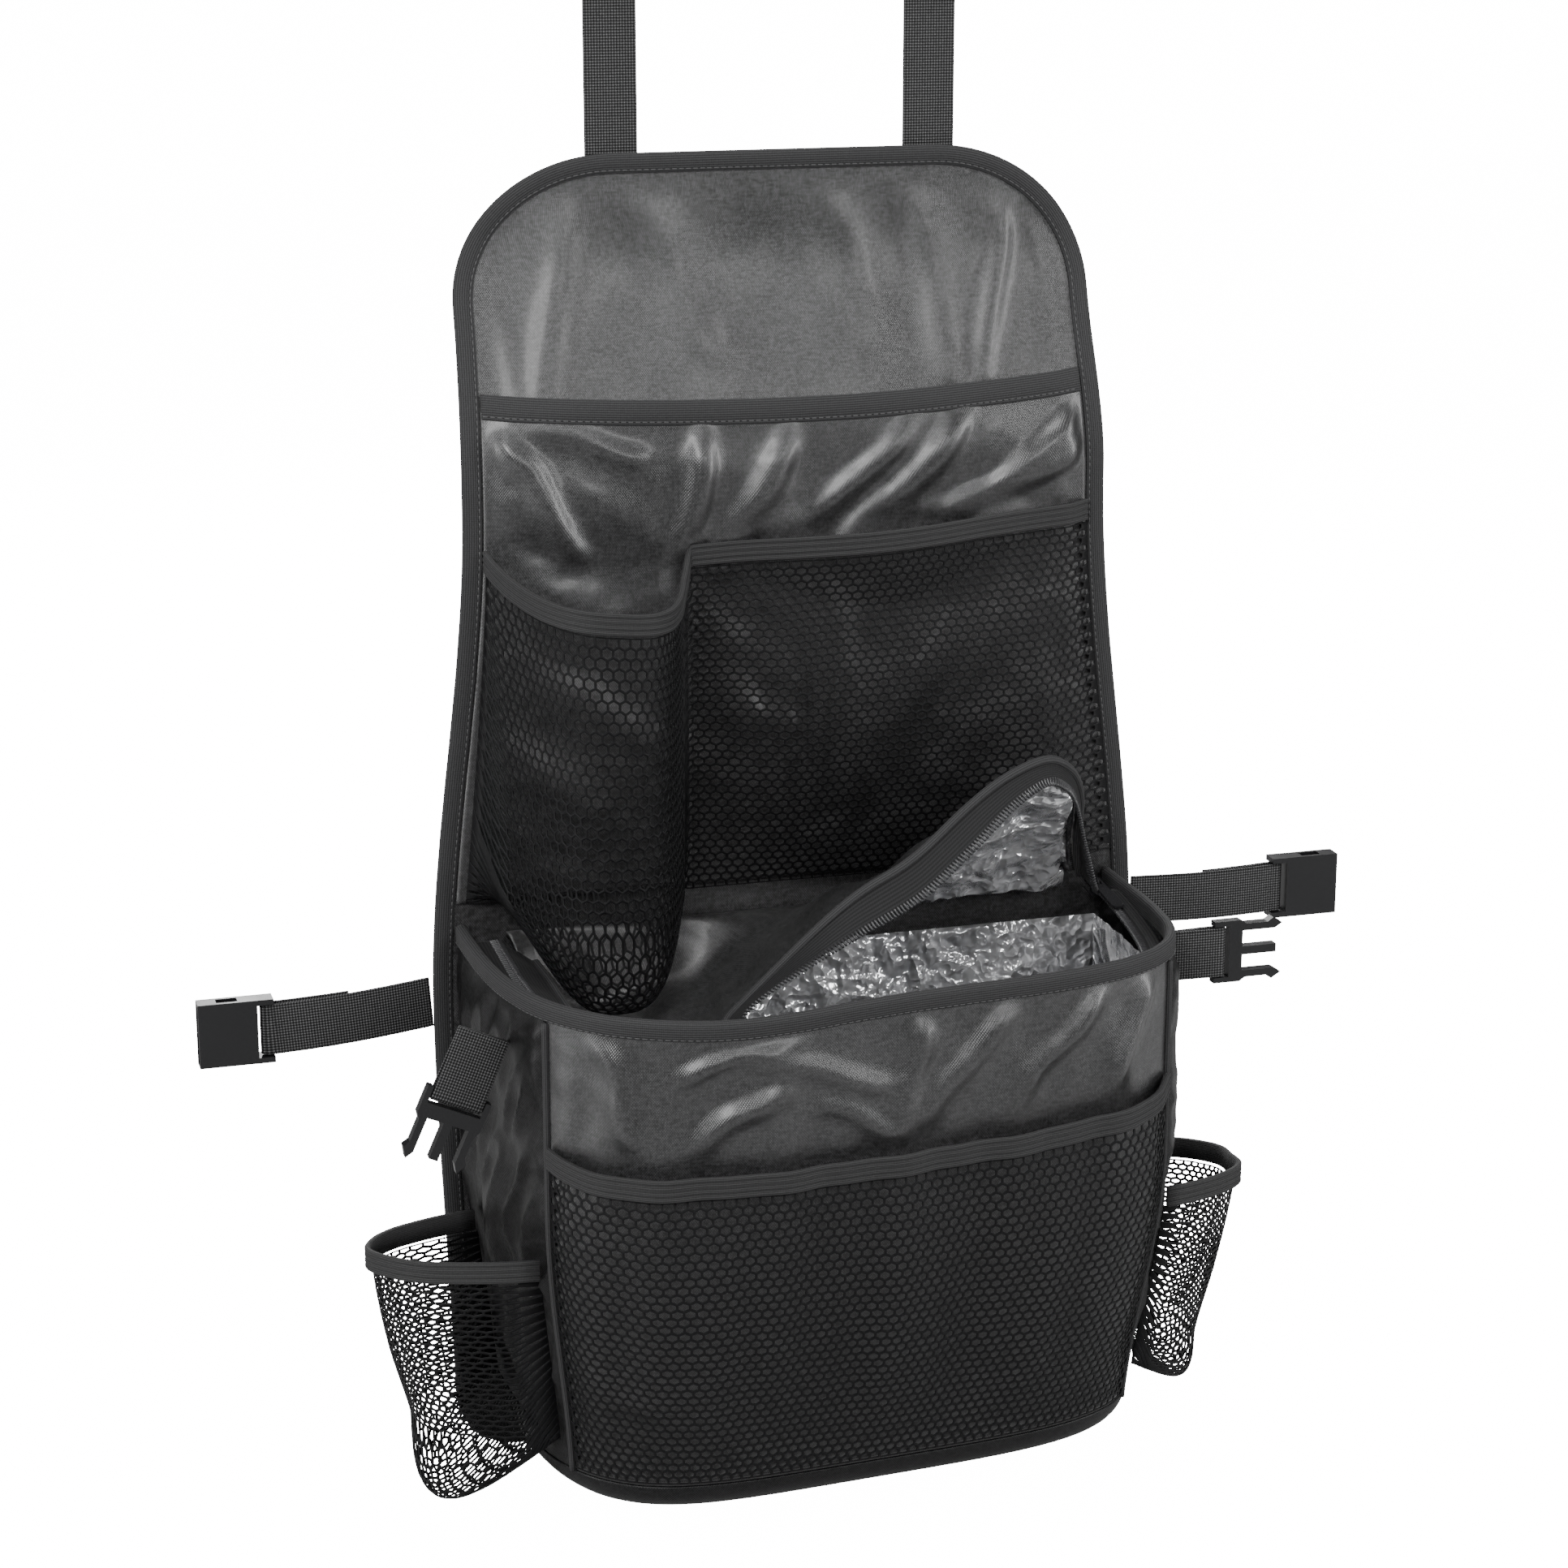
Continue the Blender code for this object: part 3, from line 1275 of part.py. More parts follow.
def main():
    nylon = material("charcoal_nylon", (0.022, 0.022, 0.024), 0.55)
    gusset = material("soft_nylon", (0.026, 0.026, 0.028), 0.58)
    tape = material("binding_tape", (0.016, 0.016, 0.018), 0.70)
    mesh = material("mesh_cloth", (0.010, 0.010, 0.011), 0.65)
    elastic = material("elastic", (0.014, 0.014, 0.015), 0.80)
    webbing = material("webbing", (0.015, 0.015, 0.016), 0.75)
    plastic = material("buckle_plastic", (0.018, 0.018, 0.019), 0.38)
    zip_cloth = material("zip_tape", (0.012, 0.012, 0.013), 0.75)
    zip_coil = material("zip_coil", (0.013, 0.013, 0.014), 0.35)
    foil = material("foil_lining", (0.74, 0.75, 0.77), 0.22, 1.0)
    slider = material("painted_metal", (0.012, 0.012, 0.013), 0.25, 0.6)

    back_panel(nylon)
    back_panel_binding(tape)
    document_pocket(nylon)
    document_pocket_hem(tape)
    upper_meshes(mesh)
    upper_pocket_elastic(elastic)
    cooler_walls(gusset, nylon)
    cooler_bottom(gusset)
    cooler_liner(foil)
    cooler_rim_binding(tape)
    zip_tape_rim(zip_cloth)
    zip_coil_rim(zip_coil)
    lid(nylon)
    lid_liner(foil)
    lid_binding(tape)
    zip_tape_lid(zip_cloth)
    zip_coil_lid(zip_coil)
    zip_slider(slider)
    zip_pull(slider)
    front_mesh_pocket(mesh)
    front_pocket_elastic(elastic)
    for side, name in ((-1, "left"), (1, "right")):
        side_mesh_pocket("side_mesh_pocket_" + name, side, mesh)
        side_pocket_elastic("side_pocket_elastic_" + name, side, elastic)
        headrest_strap("headrest_strap_" + name, side, webbing)
        headrest_slide("headrest_slide_" + name, side, plastic)
        waist_strap("waist_strap_" + name, side, webbing)
        side_tab("side_tab_" + name, side, webbing)
    buckles(plastic)


main()
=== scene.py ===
"""Looks of the car seat organizer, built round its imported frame: fine cloth, hexagonal
mesh, ribbed bindings, stitching, zip teeth, creased foil lining and webbing.
"""
import math

import bmesh
import bpy
import numpy as np
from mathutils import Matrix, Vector, noise


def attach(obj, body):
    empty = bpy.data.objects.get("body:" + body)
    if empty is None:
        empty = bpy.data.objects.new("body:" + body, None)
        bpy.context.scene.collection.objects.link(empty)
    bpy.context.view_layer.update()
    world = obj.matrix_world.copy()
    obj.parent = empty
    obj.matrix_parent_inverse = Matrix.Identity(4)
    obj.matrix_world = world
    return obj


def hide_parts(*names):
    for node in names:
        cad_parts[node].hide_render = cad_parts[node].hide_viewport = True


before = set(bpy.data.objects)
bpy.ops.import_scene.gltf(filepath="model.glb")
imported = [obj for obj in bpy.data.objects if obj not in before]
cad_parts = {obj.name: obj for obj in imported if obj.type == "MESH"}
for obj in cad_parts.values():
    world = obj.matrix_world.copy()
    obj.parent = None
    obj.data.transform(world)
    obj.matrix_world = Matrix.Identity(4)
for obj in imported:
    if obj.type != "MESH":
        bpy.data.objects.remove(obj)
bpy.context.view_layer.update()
BODY = "organizer"
FORWARD = Vector((0, -1, 0))
UP = Vector((0, 0, 1))

# Clearances and cloth
GAP = 0.0004                # between pieces that are sewn or rest together
NYLON = 0.0009
ELASTIC = 0.0026            # folded elastic band
BAND_HEIGHT = 0.011
TAPE = 0.0008               # binding
WEBBING = 0.0014
WEBBING_WIDTH = 0.025

# Back panel
PANEL_BOTTOM = -0.020
PANEL_TOP = 0.612
PANEL_THICK = 0.0020
FOOT_HALF = 0.172
HIP_HALF = 0.178            # widest, beside the cooler
HIP_Z = 0.215
WAIST_HALF = 0.158          # narrower, at the document pocket
WAIST_Z = 0.455
CHEST_HALF = 0.1555         # where the shoulders start
SHOULDER_WIDTH = 0.076
SHOULDER_HEIGHT = 0.067
FOOT_RADIUS = 0.030
BINDING_WIDTH = 0.008
BINDING_PLAY = 0.0006       # between the binding and the panel's faces
LEAN_BACK = 0.029           # how far the top leans over the seat
LEAN_FROM = 0.458
LEAN_TO = 0.584
FOLD_DEPTH = 0.0016
FOLD_PITCH = 0.074
FOLD_FADE = 0.016           # from the binding to where pockets stand clear of the folds
FOLD_FROM = 0.300           # the panel is flat below this, where the cooler hangs

# Document pocket
DOCUMENT_TOP = 0.507
DOCUMENT_BOTTOM = 0.264
DOCUMENT_MOUTH = 0.011      # how far the mouth stands open at the middle
DOCUMENT_SAG = 0.006
DOCUMENT_STAND = 0.0038     # room for the pocket's own folds
HEM_HEIGHT = 0.012

# Upper mesh pocket and its round pouch
UPPER_TOP = 0.444
UPPER_DIVIDER_TOP = 0.434
UPPER_BOTTOM = 0.264
UPPER_BULGE = 0.020
UPPER_MOUTH = 0.016
POUCH_X = -0.103
POUCH_HALF = 0.050          # half the width of the pouch where it meets the panel
POUCH_DEPTH = 0.070
POUCH_DIP = 0.020           # how far the elastic dips round the pouch
POUCH_LOW = 0.268
POUCH_SAG = 0.044           # how far its rounded bottom hangs below that
POUCH_SHARE = 0.74          # share of the cloth above a pouch's rounded bottom
BOTTOM_POWER = 2.2          # fullness of that bottom

# Cooler
COOLER_HALF = 0.167
COOLER_DEPTH = 0.160
POWER_LEFT = 3.6            # squareness of the plan at each front corner
POWER_RIGHT = 4.8
COOLER_SKEW = 0.07          # the left side stands further out than the right
COOLER_TOP = 0.254
COOLER_BACK = -0.0030       # front face of the panel, with its clearance
TAPER_SIDE = 0.085
TAPER_FRONT = 0.120
TAPER_FROM = 0.150          # the walls draw in below this
FLOOR_RADIUS = 0.015
PAN_TOP = 0.015             # upper edge of the bottom panel
PAN_THICK = 0.0012
CORNER_PIPING = 0.0016      # radius of the piping in the front corners
WALL = 0.0034
LINER = 0.0009
CORNER_SHARE = 0.219        # share of the rim's length at the front corner seams
SIDE_REACH = 0.127          # a side wall's length along the rim
SIDE_START = 0.002          # share where the side walls start at the panel
RIM_HEIGHT = 0.010
RIM_THICK = 0.0052
RIM_ROUND = 0.0024          # rounding of the rim's tape
RIM_SAG = 0.0040
RIM_SAG_X = -0.065
RIM_SAG_REACH = 0.055
WALL_FOLD = 0.0016
RING_STEPS = 121            # points of a level ring, from the panel round the front

# Zip
ZIP_DROP_BACK = 0.004       # zip tape below the rim at the back and at the front
ZIP_DROP_FRONT = 0.013
ZIP_TAPE_WIDTH = 0.0075
COIL_RADIUS = 0.0012
ZIP_START = 0.035           # share of the rim where the zip starts at the left
ZIP_CLOSED_TO = 0.385       # share of the rim up to which the zip is closed
ZIP_END = 0.952             # share of the rim where the rim's tape ends at the right

# Lid
LID_THICK = 0.0030
LID_HINGE_Z = 0.249
LID_HINGE_HALF = 0.146
LID_SKIRT = 0.018           # cloth between the lid's piping and the zip
LID_PRESSED = 0.010         # the closed part's piping below its zip
LID_DENT = 0.027            # dent pressed by the round pouch
LID_DENT_Y = -0.041
LID_DENT_RADIUS = 0.060
LID_DENT_RAMP = 0.026       # from the hinge to the full dent
PIPING_RADIUS = 0.0022
LIFTED_EDGE = [             # the open zip edge of the lid, from the closed part to the slider
    (-0.059, -0.139, 0.248),
    (-0.013, -0.127, 0.269),
    (0.027, -0.115, 0.283),
    (0.056, -0.105, 0.301),
    (0.081, -0.095, 0.318),
    (0.101, -0.085, 0.325),
    (0.115, -0.075, 0.319),
    (0.127, -0.060, 0.3045),
    (0.138, -0.044, 0.277),
    (0.1450, -0.0355, 0.2590),
    (0.1498, -0.0290, 0.2500),
]

# Front and side mesh pockets
FRONT_TOP = 0.186
FRONT_DIP = 0.006
FRONT_BULGE = 0.008
FRONT_MOUTH = 0.78          # share of the bulge left where the mouth stands open
FRONT_BOTTOM = 0.017
SIDE_TOP = 0.122
SIDE_LOW = 0.030
SIDE_SAG_LEFT = 0.040
SIDE_SAG_RIGHT = 0.024
SIDE_REACH_LEFT = 0.057
SIDE_REACH_RIGHT = 0.041
SIDE_FROM_SHARE = 0.045     # share of the rim's length where the side pockets start
SIDE_TO_SHARE = 0.208
SIDE_TAPER = 0.10

# Straps
HEADREST_X = 0.078
LOOP_TOP = 0.768
LOOP_RADIUS = 0.013
STRAP_SEWN = 0.030
SLIDE_Z = 0.692             # foot of the slide that closes the headrest loop
SLIDE_HEIGHT = 0.018
WAIST_LEFT_Z = 0.216
WAIST_RIGHT_Z = 0.235
WAIST_FALL = 0.006          # how far the left one droops
WAIST_REACH = 0.258         # from the centre to the buckle bars of the waist straps
TAB_LEFT_SHARE = 0.165      # shares of the rim's length where the side tabs are sewn on
TAB_RIGHT_SHARE = 0.885
TAB_LEFT_Z = 0.2255
TAB_RIGHT_Z = 0.226
TAB_LENGTH = 0.032
TAB_LEFT_FALL = math.radians(66)

# Bars of the side release buckles, which the webbing goes round
SLOT_LENGTH = 0.0042
BAR = 0.0036
BAR_THICK = 0.0026

# Fine mesh, stitches and zip teeth
NET_STRAND_HALF = 0.00058
NET_THICK = 0.0005
UPPER_CELLS = 70            # openings across each net, and their rows
UPPER_ROUND_ROWS = 18       # rows in the round pouch's bottom
UPPER_ROWS = 28             # rows above it
FRONT_CELLS = 60
FRONT_ROWS = 38
SIDE_CELLS = 26
SIDE_ROWS = 40
STITCH_PITCH = 0.0034
STITCH_LENGTH = 0.0024
STITCH_WIDTH = 0.0005
STITCH_SINK = 0.00005       # a stitch's ends below the cloth's face
BINDING_SEAM = 0.0014       # rows of stitches, in from each tape's edge
HEM_SEAM = 0.0018
RIM_SEAM = 0.0016
STITCH_PROFILE = [          # share of its length, and how high it stands there
    (-0.5, 0.0), (-0.38, 0.8), (0.38, 0.8), (0.5, 0.0),
]
TOOTH_PITCH = 0.0019
TOOTH_LONG = 0.0043
TOOTH_HALF = 0.00060
TOOTH_SIDES = 6
TOOTH_PROFILE = [           # share of its length, and how thick it is there
    (-0.5, 0.55), (-0.36, 1.0), (0.20, 1.0), (0.42, 1.25), (0.5, 0.7),
]
TOOTH_SQUASH = 1.5          # a tooth's height for its width
ZIP_TAPE_THICK = 0.0007
JOIN = 0.00002              # points closer than this are one

# Foil
LINER_THICK = 0.0005
LINER_TOP = 0.232
LINER_STAND = 0.0034        # off the walls, by more than its creases
LID_FOIL_THICK = 0.0004
LID_FOIL_STAND = 0.0046     # off the lid's foam, by more than its creases
LID_FOIL_FROM = 0.03        # shares of the lid where its foil starts and ends
LID_FOIL_TO = 0.965
LID_FOIL_EDGE = 0.985

# Long folds in the cloth: ends (x, z) and (x, z), half width, height
PANEL_FOLDS = [
    (-0.103, 0.600, -0.116, 0.500, 0.009, 0.0030),
    (-0.072, 0.602, -0.036, 0.530, 0.011, 0.0024),
    (0.030, 0.590, 0.046, 0.540, 0.007, 0.0016),
    (0.066, 0.602, 0.086, 0.505, 0.010, 0.0032),
    (0.116, 0.592, 0.100, 0.505, 0.006, 0.0026),
    (0.133, 0.570, 0.139, 0.505, 0.005, 0.0024),
    (-0.141, 0.545, -0.130, 0.500, 0.006, 0.0020),
]
POCKET_FOLDS = [
    (-0.139, 0.484, -0.108, 0.436, 0.0060, 0.0032),
    (-0.046, 0.492, -0.055, 0.415, 0.0060, 0.0034),
    (-0.002, 0.494, -0.032, 0.428, 0.0070, 0.0034),
    (0.060, 0.492, 0.016, 0.446, 0.0055, 0.0030),
    (0.084, 0.491, 0.032, 0.430, 0.0065, 0.0036),
    (0.146, 0.490, 0.108, 0.456, 0.0055, 0.0028),
    (0.150, 0.474, 0.086, 0.444, 0.0055, 0.0032),
    (-0.120, 0.492, -0.080, 0.478, 0.0050, 0.0022),
    (0.100, 0.430, 0.060, 0.330, 0.0100, 0.0030),
    (0.000, 0.425, 0.030, 0.320, 0.0110, 0.0030),
]
FRONT_FOLDS = [
    (-0.094, 0.226, -0.045, 0.240, 0.0050, 0.0026),
    (-0.086, 0.196, -0.056, 0.214, 0.0060, 0.0030),
    (-0.056, 0.228, -0.008, 0.214, 0.0055, 0.0028),
    (0.014, 0.240, 0.008, 0.200, 0.0060, 0.0026),
    (0.058, 0.246, 0.022, 0.198, 0.0070, 0.0032),
    (0.104, 0.242, 0.072, 0.206, 0.0060, 0.0030),
    (0.134, 0.246, 0.118, 0.202, 0.0060, 0.0028),
    (-0.130, 0.240, -0.120, 0.200, 0.0060, 0.0026),
    (-0.030, 0.205, 0.000, 0.190, 0.0050, 0.0022),
    (-0.120, 0.060, -0.060, 0.030, 0.0080, 0.0024),
    (0.110, 0.070, 0.050, 0.030, 0.0080, 0.0024),
]

# Weave of each cloth
WARP = 0.00115
WEFT = 0.00145
WEBBING_YARN = 0.0027

# Stage
WORLD_LIGHT = 0.05
WORLD_SEEN = 16.0
FLOOR_SEEN = 15.8
FLOOR_Z = -0.0225
FLOOR_SIZE = 12
LIGHTS = [                  # name, place, what it faces, size, power
    ("key", (-1.3, -2.0, 1.9), (0, 0, 0.35), (0.9, 0.9), 55.0),
    ("front", (0.8, -2.3, 1.35), (0, 0, 0.4), (1.0, 0.45), 15.0),
    ("right strip", (1.9, -0.9, 0.9), (0, 0, 0.3), (0.4, 1.6), 26.0),
    ("left strip", (-1.9, -0.2, 0.6), (0, -0.05, 0.2), (0.35, 1.4), 20.0),
    ("top", (0.1, -0.2, 2.4), (0, 0, 0.3), (1.2, 0.7), 24.0),
    ("back", (0.4, 2.4, 1.3), (0, 0, 0.3), (1.4, 1.0), 40.0),
]
LENS = 79.85
SENSOR = 36.0
CAMERA_TARGET = Vector((-0.003, 0.0, 0.3098))
CAMERA_TURN = math.radians(-16.5)
CAMERA_RISE = math.radians(15.6)
CAMERA_AWAY = 1.6955


# Shapes of the cloth, straps and zip, from the sizes above

def smooth(t):
    """0 to 1 with a soft start and end."""
    t = min(1.0, max(0.0, t))
    return t * t * (3 - 2 * t)


def mix(a, b, t):
    return a + (b - a) * t


def spread(a, b, count):
    return [mix(a, b, i / (count - 1)) for i in range(count)]


def round_section(radius, count):
    """The points of a circle."""
    return [(radius * math.cos(math.tau * i / count), radius * math.sin(math.tau * i / count))
            for i in range(count)]


def tangents(points):
    ends = [points[0]] + points + [points[-1]]
    return [(ends[i + 2] - ends[i]).normalized() for i in range(len(points))]


def cord_stations(points, ups):
    """Frames along a line of points, with each up axis kept near the given direction."""
    frames = []
    for place, ahead, towards in zip(points, tangents(points), ups):
        side = ahead.cross(towards).normalized()
        frames.append((place, side, side.cross(ahead).normalized()))
    return frames


def smooth_curve(points, per_span=6):
    """A rounded line through the points."""
    made = []
    ends = [points[0]] + points + [points[-1]]
    for i in range(1, len(ends) - 2):
        a, b, c, d = ends[i - 1:i + 3]
        for k in range(per_span):
            t = k / per_span
            made.append(0.5 * (2 * b + (c - a) * t + (2 * a - 5 * b + 4 * c - d) * t * t
                               + (3 * b - a - 3 * c + d) * t ** 3))
    return made + [points[-1]]


class Line:
    """A line of points that can be read at any share of its length."""

    def __init__(self, points):
        self.points = points
        self.reach = [0.0]
        for one, two in zip(points, points[1:]):
            self.reach.append(self.reach[-1] + (two - one).length)

    def span(self, share):
        goal = min(1.0, max(0.0, share)) * self.reach[-1]
        i = 0
        while i < len(self.points) - 2 and self.reach[i + 1] < goal:
            i += 1
        return i, (goal - self.reach[i]) / (self.reach[i + 1] - self.reach[i])

    def at(self, share):
        i, t = self.span(share)
        return self.points[i].lerp(self.points[i + 1], t)

    def along(self, share, step):
        """The way the line runs at a share of its length."""
        return (self.at(min(1, share + step)) - self.at(max(0, share - step))).normalized()


def lean(z):
    """How far the panel leans back at a height."""
    return LEAN_BACK * smooth((z - LEAN_FROM) / (LEAN_TO - LEAN_FROM))


def lean_slope(z):
    step = 0.002
    return (lean(z + step) - lean(z - step)) / (2 * step)


def panel_half(z):
    """Half the panel's width at a height."""
    if z < HIP_Z:
        half = mix(FOOT_HALF, HIP_HALF, smooth((z - PANEL_BOTTOM) / (HIP_Z - PANEL_BOTTOM)))
    else:
        half = mix(HIP_HALF, WAIST_HALF, smooth((z - HIP_Z) / (WAIST_Z - HIP_Z)))
    chest = PANEL_TOP - SHOULDER_HEIGHT
    half = mix(half, CHEST_HALF, smooth((z - WAIST_Z) / (chest - WAIST_Z)))
    if z > chest:
        rise = min(1.0, (z - chest) / SHOULDER_HEIGHT)
        half -= SHOULDER_WIDTH * (1 - math.sqrt(1 - rise * rise))
    if z < PANEL_BOTTOM + FOOT_RADIUS:
        drop = 1 - (z - PANEL_BOTTOM) / FOOT_RADIUS
        half -= FOOT_RADIUS * (1 - math.sqrt(max(0.0, 1 - drop * drop)))
    return half


def panel_fold(x, z):
    """Soft upright folds, fading out towards the binding and behind the cooler."""
    inside = smooth((panel_half(z) - BINDING_WIDTH - abs(x)) / 0.030)
    up = smooth((z - FOLD_FROM) / 0.060) * smooth((PANEL_TOP - BINDING_WIDTH - z) / 0.030)
    wave = math.sin(math.tau * x / FOLD_PITCH + 9 * z) + 0.4 * math.sin(31 * x - 14 * z + 1)
    return FOLD_DEPTH * inside * up * (1 + wave) / 2


def pocket_half(z):
    """Half the width between the inner edges of the binding."""
    return panel_half(z) - BINDING_WIDTH - 2 * GAP


def panel_face(x, z):
    """The front of the panel and its folds, with a clearance."""
    inside = smooth((panel_half(z) - BINDING_WIDTH - abs(x)) / FOLD_FADE)
    return lean(z) - PANEL_THICK - GAP - FOLD_DEPTH * 1.25 * inside


def document_top(u):
    """Height of the document pocket's edge, from -1 to 1 across."""
    return DOCUMENT_TOP - DOCUMENT_SAG * (1 - u * u)


def document_place(u, v):
    """The back of the document pocket's cloth: v runs from its foot to its upper edge."""
    z = mix(DOCUMENT_BOTTOM, document_top(u), v)
    x = u * pocket_half(z)
    open_by = DOCUMENT_MOUTH * v ** 5 * (1 - u * u)
    edge = smooth((1 - abs(u)) / 0.20)
    slant = math.sin(52 * x + 30 * (1 - v) * (0.4 + abs(u)) * math.tanh(-x / 0.02))
    fold = 0.0030 * edge * (0.5 + 0.5 * slant) * smooth(v / 0.4) * (1 - 0.6 * v ** 4)
    return Vector((x, panel_face(x, z) - open_by - fold, z))


def pouch_depth(x):
    """How far the round pouch stands off the panel at x."""
    off = abs(x - POUCH_X) / POUCH_HALF
    return POUCH_DEPTH * max(0.0, 1 - off ** 3) ** 1.6


def bottom_drop(part):
    """How far a pouch's rounded bottom hangs down, along its cloth from the outside in."""
    return max(0.0, math.sin(math.pi * part)) ** 0.7


def upper_top(x):
    """Height of the upper elastic, which dips round the pouch."""
    half = pocket_half(UPPER_TOP)
    divider = POUCH_X + POUCH_HALF
    if x < divider:
        base = mix(UPPER_TOP, UPPER_DIVIDER_TOP, (x + half) / (divider + half))
    else:
        base = mix(UPPER_DIVIDER_TOP, UPPER_TOP, (x - divider) / (half - divider))
    off = min(1.0, abs(x - POUCH_X) / POUCH_HALF)
    return base - POUCH_DIP * (1 - off ** 6)


UPPER_LINE = Line([Vector((u, -pouch_depth(u * pocket_half(UPPER_TOP)) / pocket_half(UPPER_TOP), 0))
                   for u in spread(-1, 1, 161)])


def upper_place(s, v, top_drop=0.0, even=None):
    """The back of the mesh: s runs across along the cloth, v upwards, and even is v off the pouch."""
    even = v if even is None else even
    u = UPPER_LINE.at(s).x
    x = u * pocket_half(UPPER_TOP)
    depth = pouch_depth(x)
    top = upper_top(x) - top_drop
    down = 1 - v
    wide = smooth((x - POUCH_X - POUCH_HALF) / 0.05) * smooth((1 - abs(u)) / 0.25)
    if down < POUCH_SHARE:
        z = mix(top, POUCH_LOW, down / POUCH_SHARE)
        reach = depth
    else:
        part = (down - POUCH_SHARE) / (1 - POUCH_SHARE)
        reach = depth * (1 - part ** BOTTOM_POWER)
        z = POUCH_LOW - POUCH_SAG * (depth / POUCH_DEPTH) ** 1.6 * bottom_drop(part)
    flat_z = mix(top, UPPER_BOTTOM, 1 - even)
    share = smooth(depth / (0.25 * POUCH_DEPTH))
    z = mix(flat_z, z, share)
    x *= mix(1.0, pocket_half(z) / pocket_half(UPPER_TOP), abs(u) ** 3 * (1 - share))
    bulge = UPPER_BULGE * wide * math.sin(math.pi * min(1.0, (1 - even) * 1.02)) ** 0.8
    mouth = UPPER_MOUTH * wide * even * even * (0.6 + 0.4 * math.sin(38 * x))
    pleat = 0.0016 * share * math.sin(260 * s) * (1 - abs(2 * v - 1)) * 0.5
    stand = GAP + DOCUMENT_STAND * smooth((1 - abs(u)) / 0.08)
    y = panel_face(x, z) - NYLON - GAP - stand - reach - max(bulge, mouth) - pleat
    return Vector((x, min(y, panel_face(x, z) - NYLON - GAP), z))


def outward_axes(points, fallback):
    """Level directions square to a line of points, on the side of the fallback."""
    made = []
    for ahead in tangents(points):
        out = Vector((ahead.y, -ahead.x, 0.0))
        if out.length < 0.2:
            out = fallback.copy()
        made.append(out.normalized())
    return made


def plan_curve():
    """The rim seen from above, from the back left corner round the front to the back right."""
    points = []
    for i in range(241):
        turn = math.pi * i / 240
        c, s = math.cos(turn), math.sin(turn)
        power = mix(POWER_RIGHT, POWER_LEFT, (1 + c) / 2)
        x = -COOLER_HALF * math.copysign(abs(c) ** (2 / power), c)
        y = -COOLER_DEPTH * abs(s) ** (2 / power) * (1 - COOLER_SKEW * x / COOLER_HALF)
        points.append(Vector((x, y, 0)))
    return Line(points)


RIM = plan_curve()


def rim_z(share):
    """Height of the cooler's rim, which sags a little at the front, left of its middle."""
    off = (RIM.at(share).x - RIM_SAG_X) / RIM_SAG_REACH
    return COOLER_TOP - RIM_SAG * math.exp(-off * off)


def body(share, z, out=0.0, fold=1.0):
    """A place on the cooler's outside, or moved outwards from it."""
    place = RIM.at(share)
    ahead = RIM.along(share, 0.004)
    outward = Vector((ahead.y, -ahead.x, 0))
    draw = 1 - smooth(z / TAPER_FROM)
    x = place.x * (1 - TAPER_SIDE * draw)
    y = place.y * (1 - TAPER_FRONT * draw)
    if z < FLOOR_RADIUS:
        drop = 1 - max(0.0, z) / FLOOR_RADIUS
        out -= FLOOR_RADIUS * (1 - math.sqrt(1 - drop * drop))
    middle = smooth((z - 0.030) / 0.040) * smooth((0.236 - z) / 0.040)
    seam = min(abs(share - CORNER_SHARE), abs(share - 1 + CORNER_SHARE), share, 1 - share)
    wave = math.sin(62 * share + 7 * z) + 0.5 * math.sin(131 * share - 16 * z)
    out += fold * WALL_FOLD * middle * smooth(seam / 0.05) * wave / 1.5
    return Vector((x + outward.x * out, y + outward.y * out, z))


def body_back(share, z, out=0.0):
    """As body, but never behind the panel's front face."""
    place = body(share, z, out)
    place.y = min(place.y, COOLER_BACK)
    return place


def towards_ends(t):
    """Moves evenly spaced shares closer together at both ends."""
    return mix(t, smooth(t), 0.6)


def cooler_ring(z, out, back, shrink=1.0, fold=1.0):
    """A closed level ring: round the front, then straight along the back."""
    ring = []
    for share in spread(0.0, 1.0, RING_STEPS):
        place = body(share, z, out, fold)
        place.y = min(place.y, back)
        ring.append(place)
    right, left = ring[-1], ring[0]
    ring += [right.lerp(left, t) for t in (0.2, 0.4, 0.6, 0.8)]
    centre = Vector((0, -COOLER_DEPTH / 2, z))
    return [centre + (p - centre) * shrink for p in ring]


def zip_z(share):
    """Height of the zip tape round the rim: it rises to the rim at the back."""
    away = smooth((min(share, 1 - share) - 0.02) / 0.16)
    return rim_z(share) - mix(ZIP_DROP_BACK, ZIP_DROP_FRONT, away)


TAPE_OUT = -WALL / 2 - RIM_THICK / 2 - GAP
RIM_COIL_OUT = TAPE_OUT - ZIP_TAPE_WIDTH - GAP - COIL_RADIUS
LID_COIL_OUT = RIM_COIL_OUT - 2 * COIL_RADIUS - GAP


def lid_chain():
    """The lid's zip edge: closed along the rim at the left, then lifted."""
    closed = [body(share, zip_z(share), LID_COIL_OUT)
              for share in spread(ZIP_START, ZIP_CLOSED_TO, 9)]
    return Line(smooth_curve(closed + [Vector(p) for p in LIFTED_EDGE]))


CHAIN = lid_chain()


def lifted(share):
    """0 where the lid lies closed, 1 where it is raised, along its zip edge."""
    return smooth((share - 0.40) / 0.16)


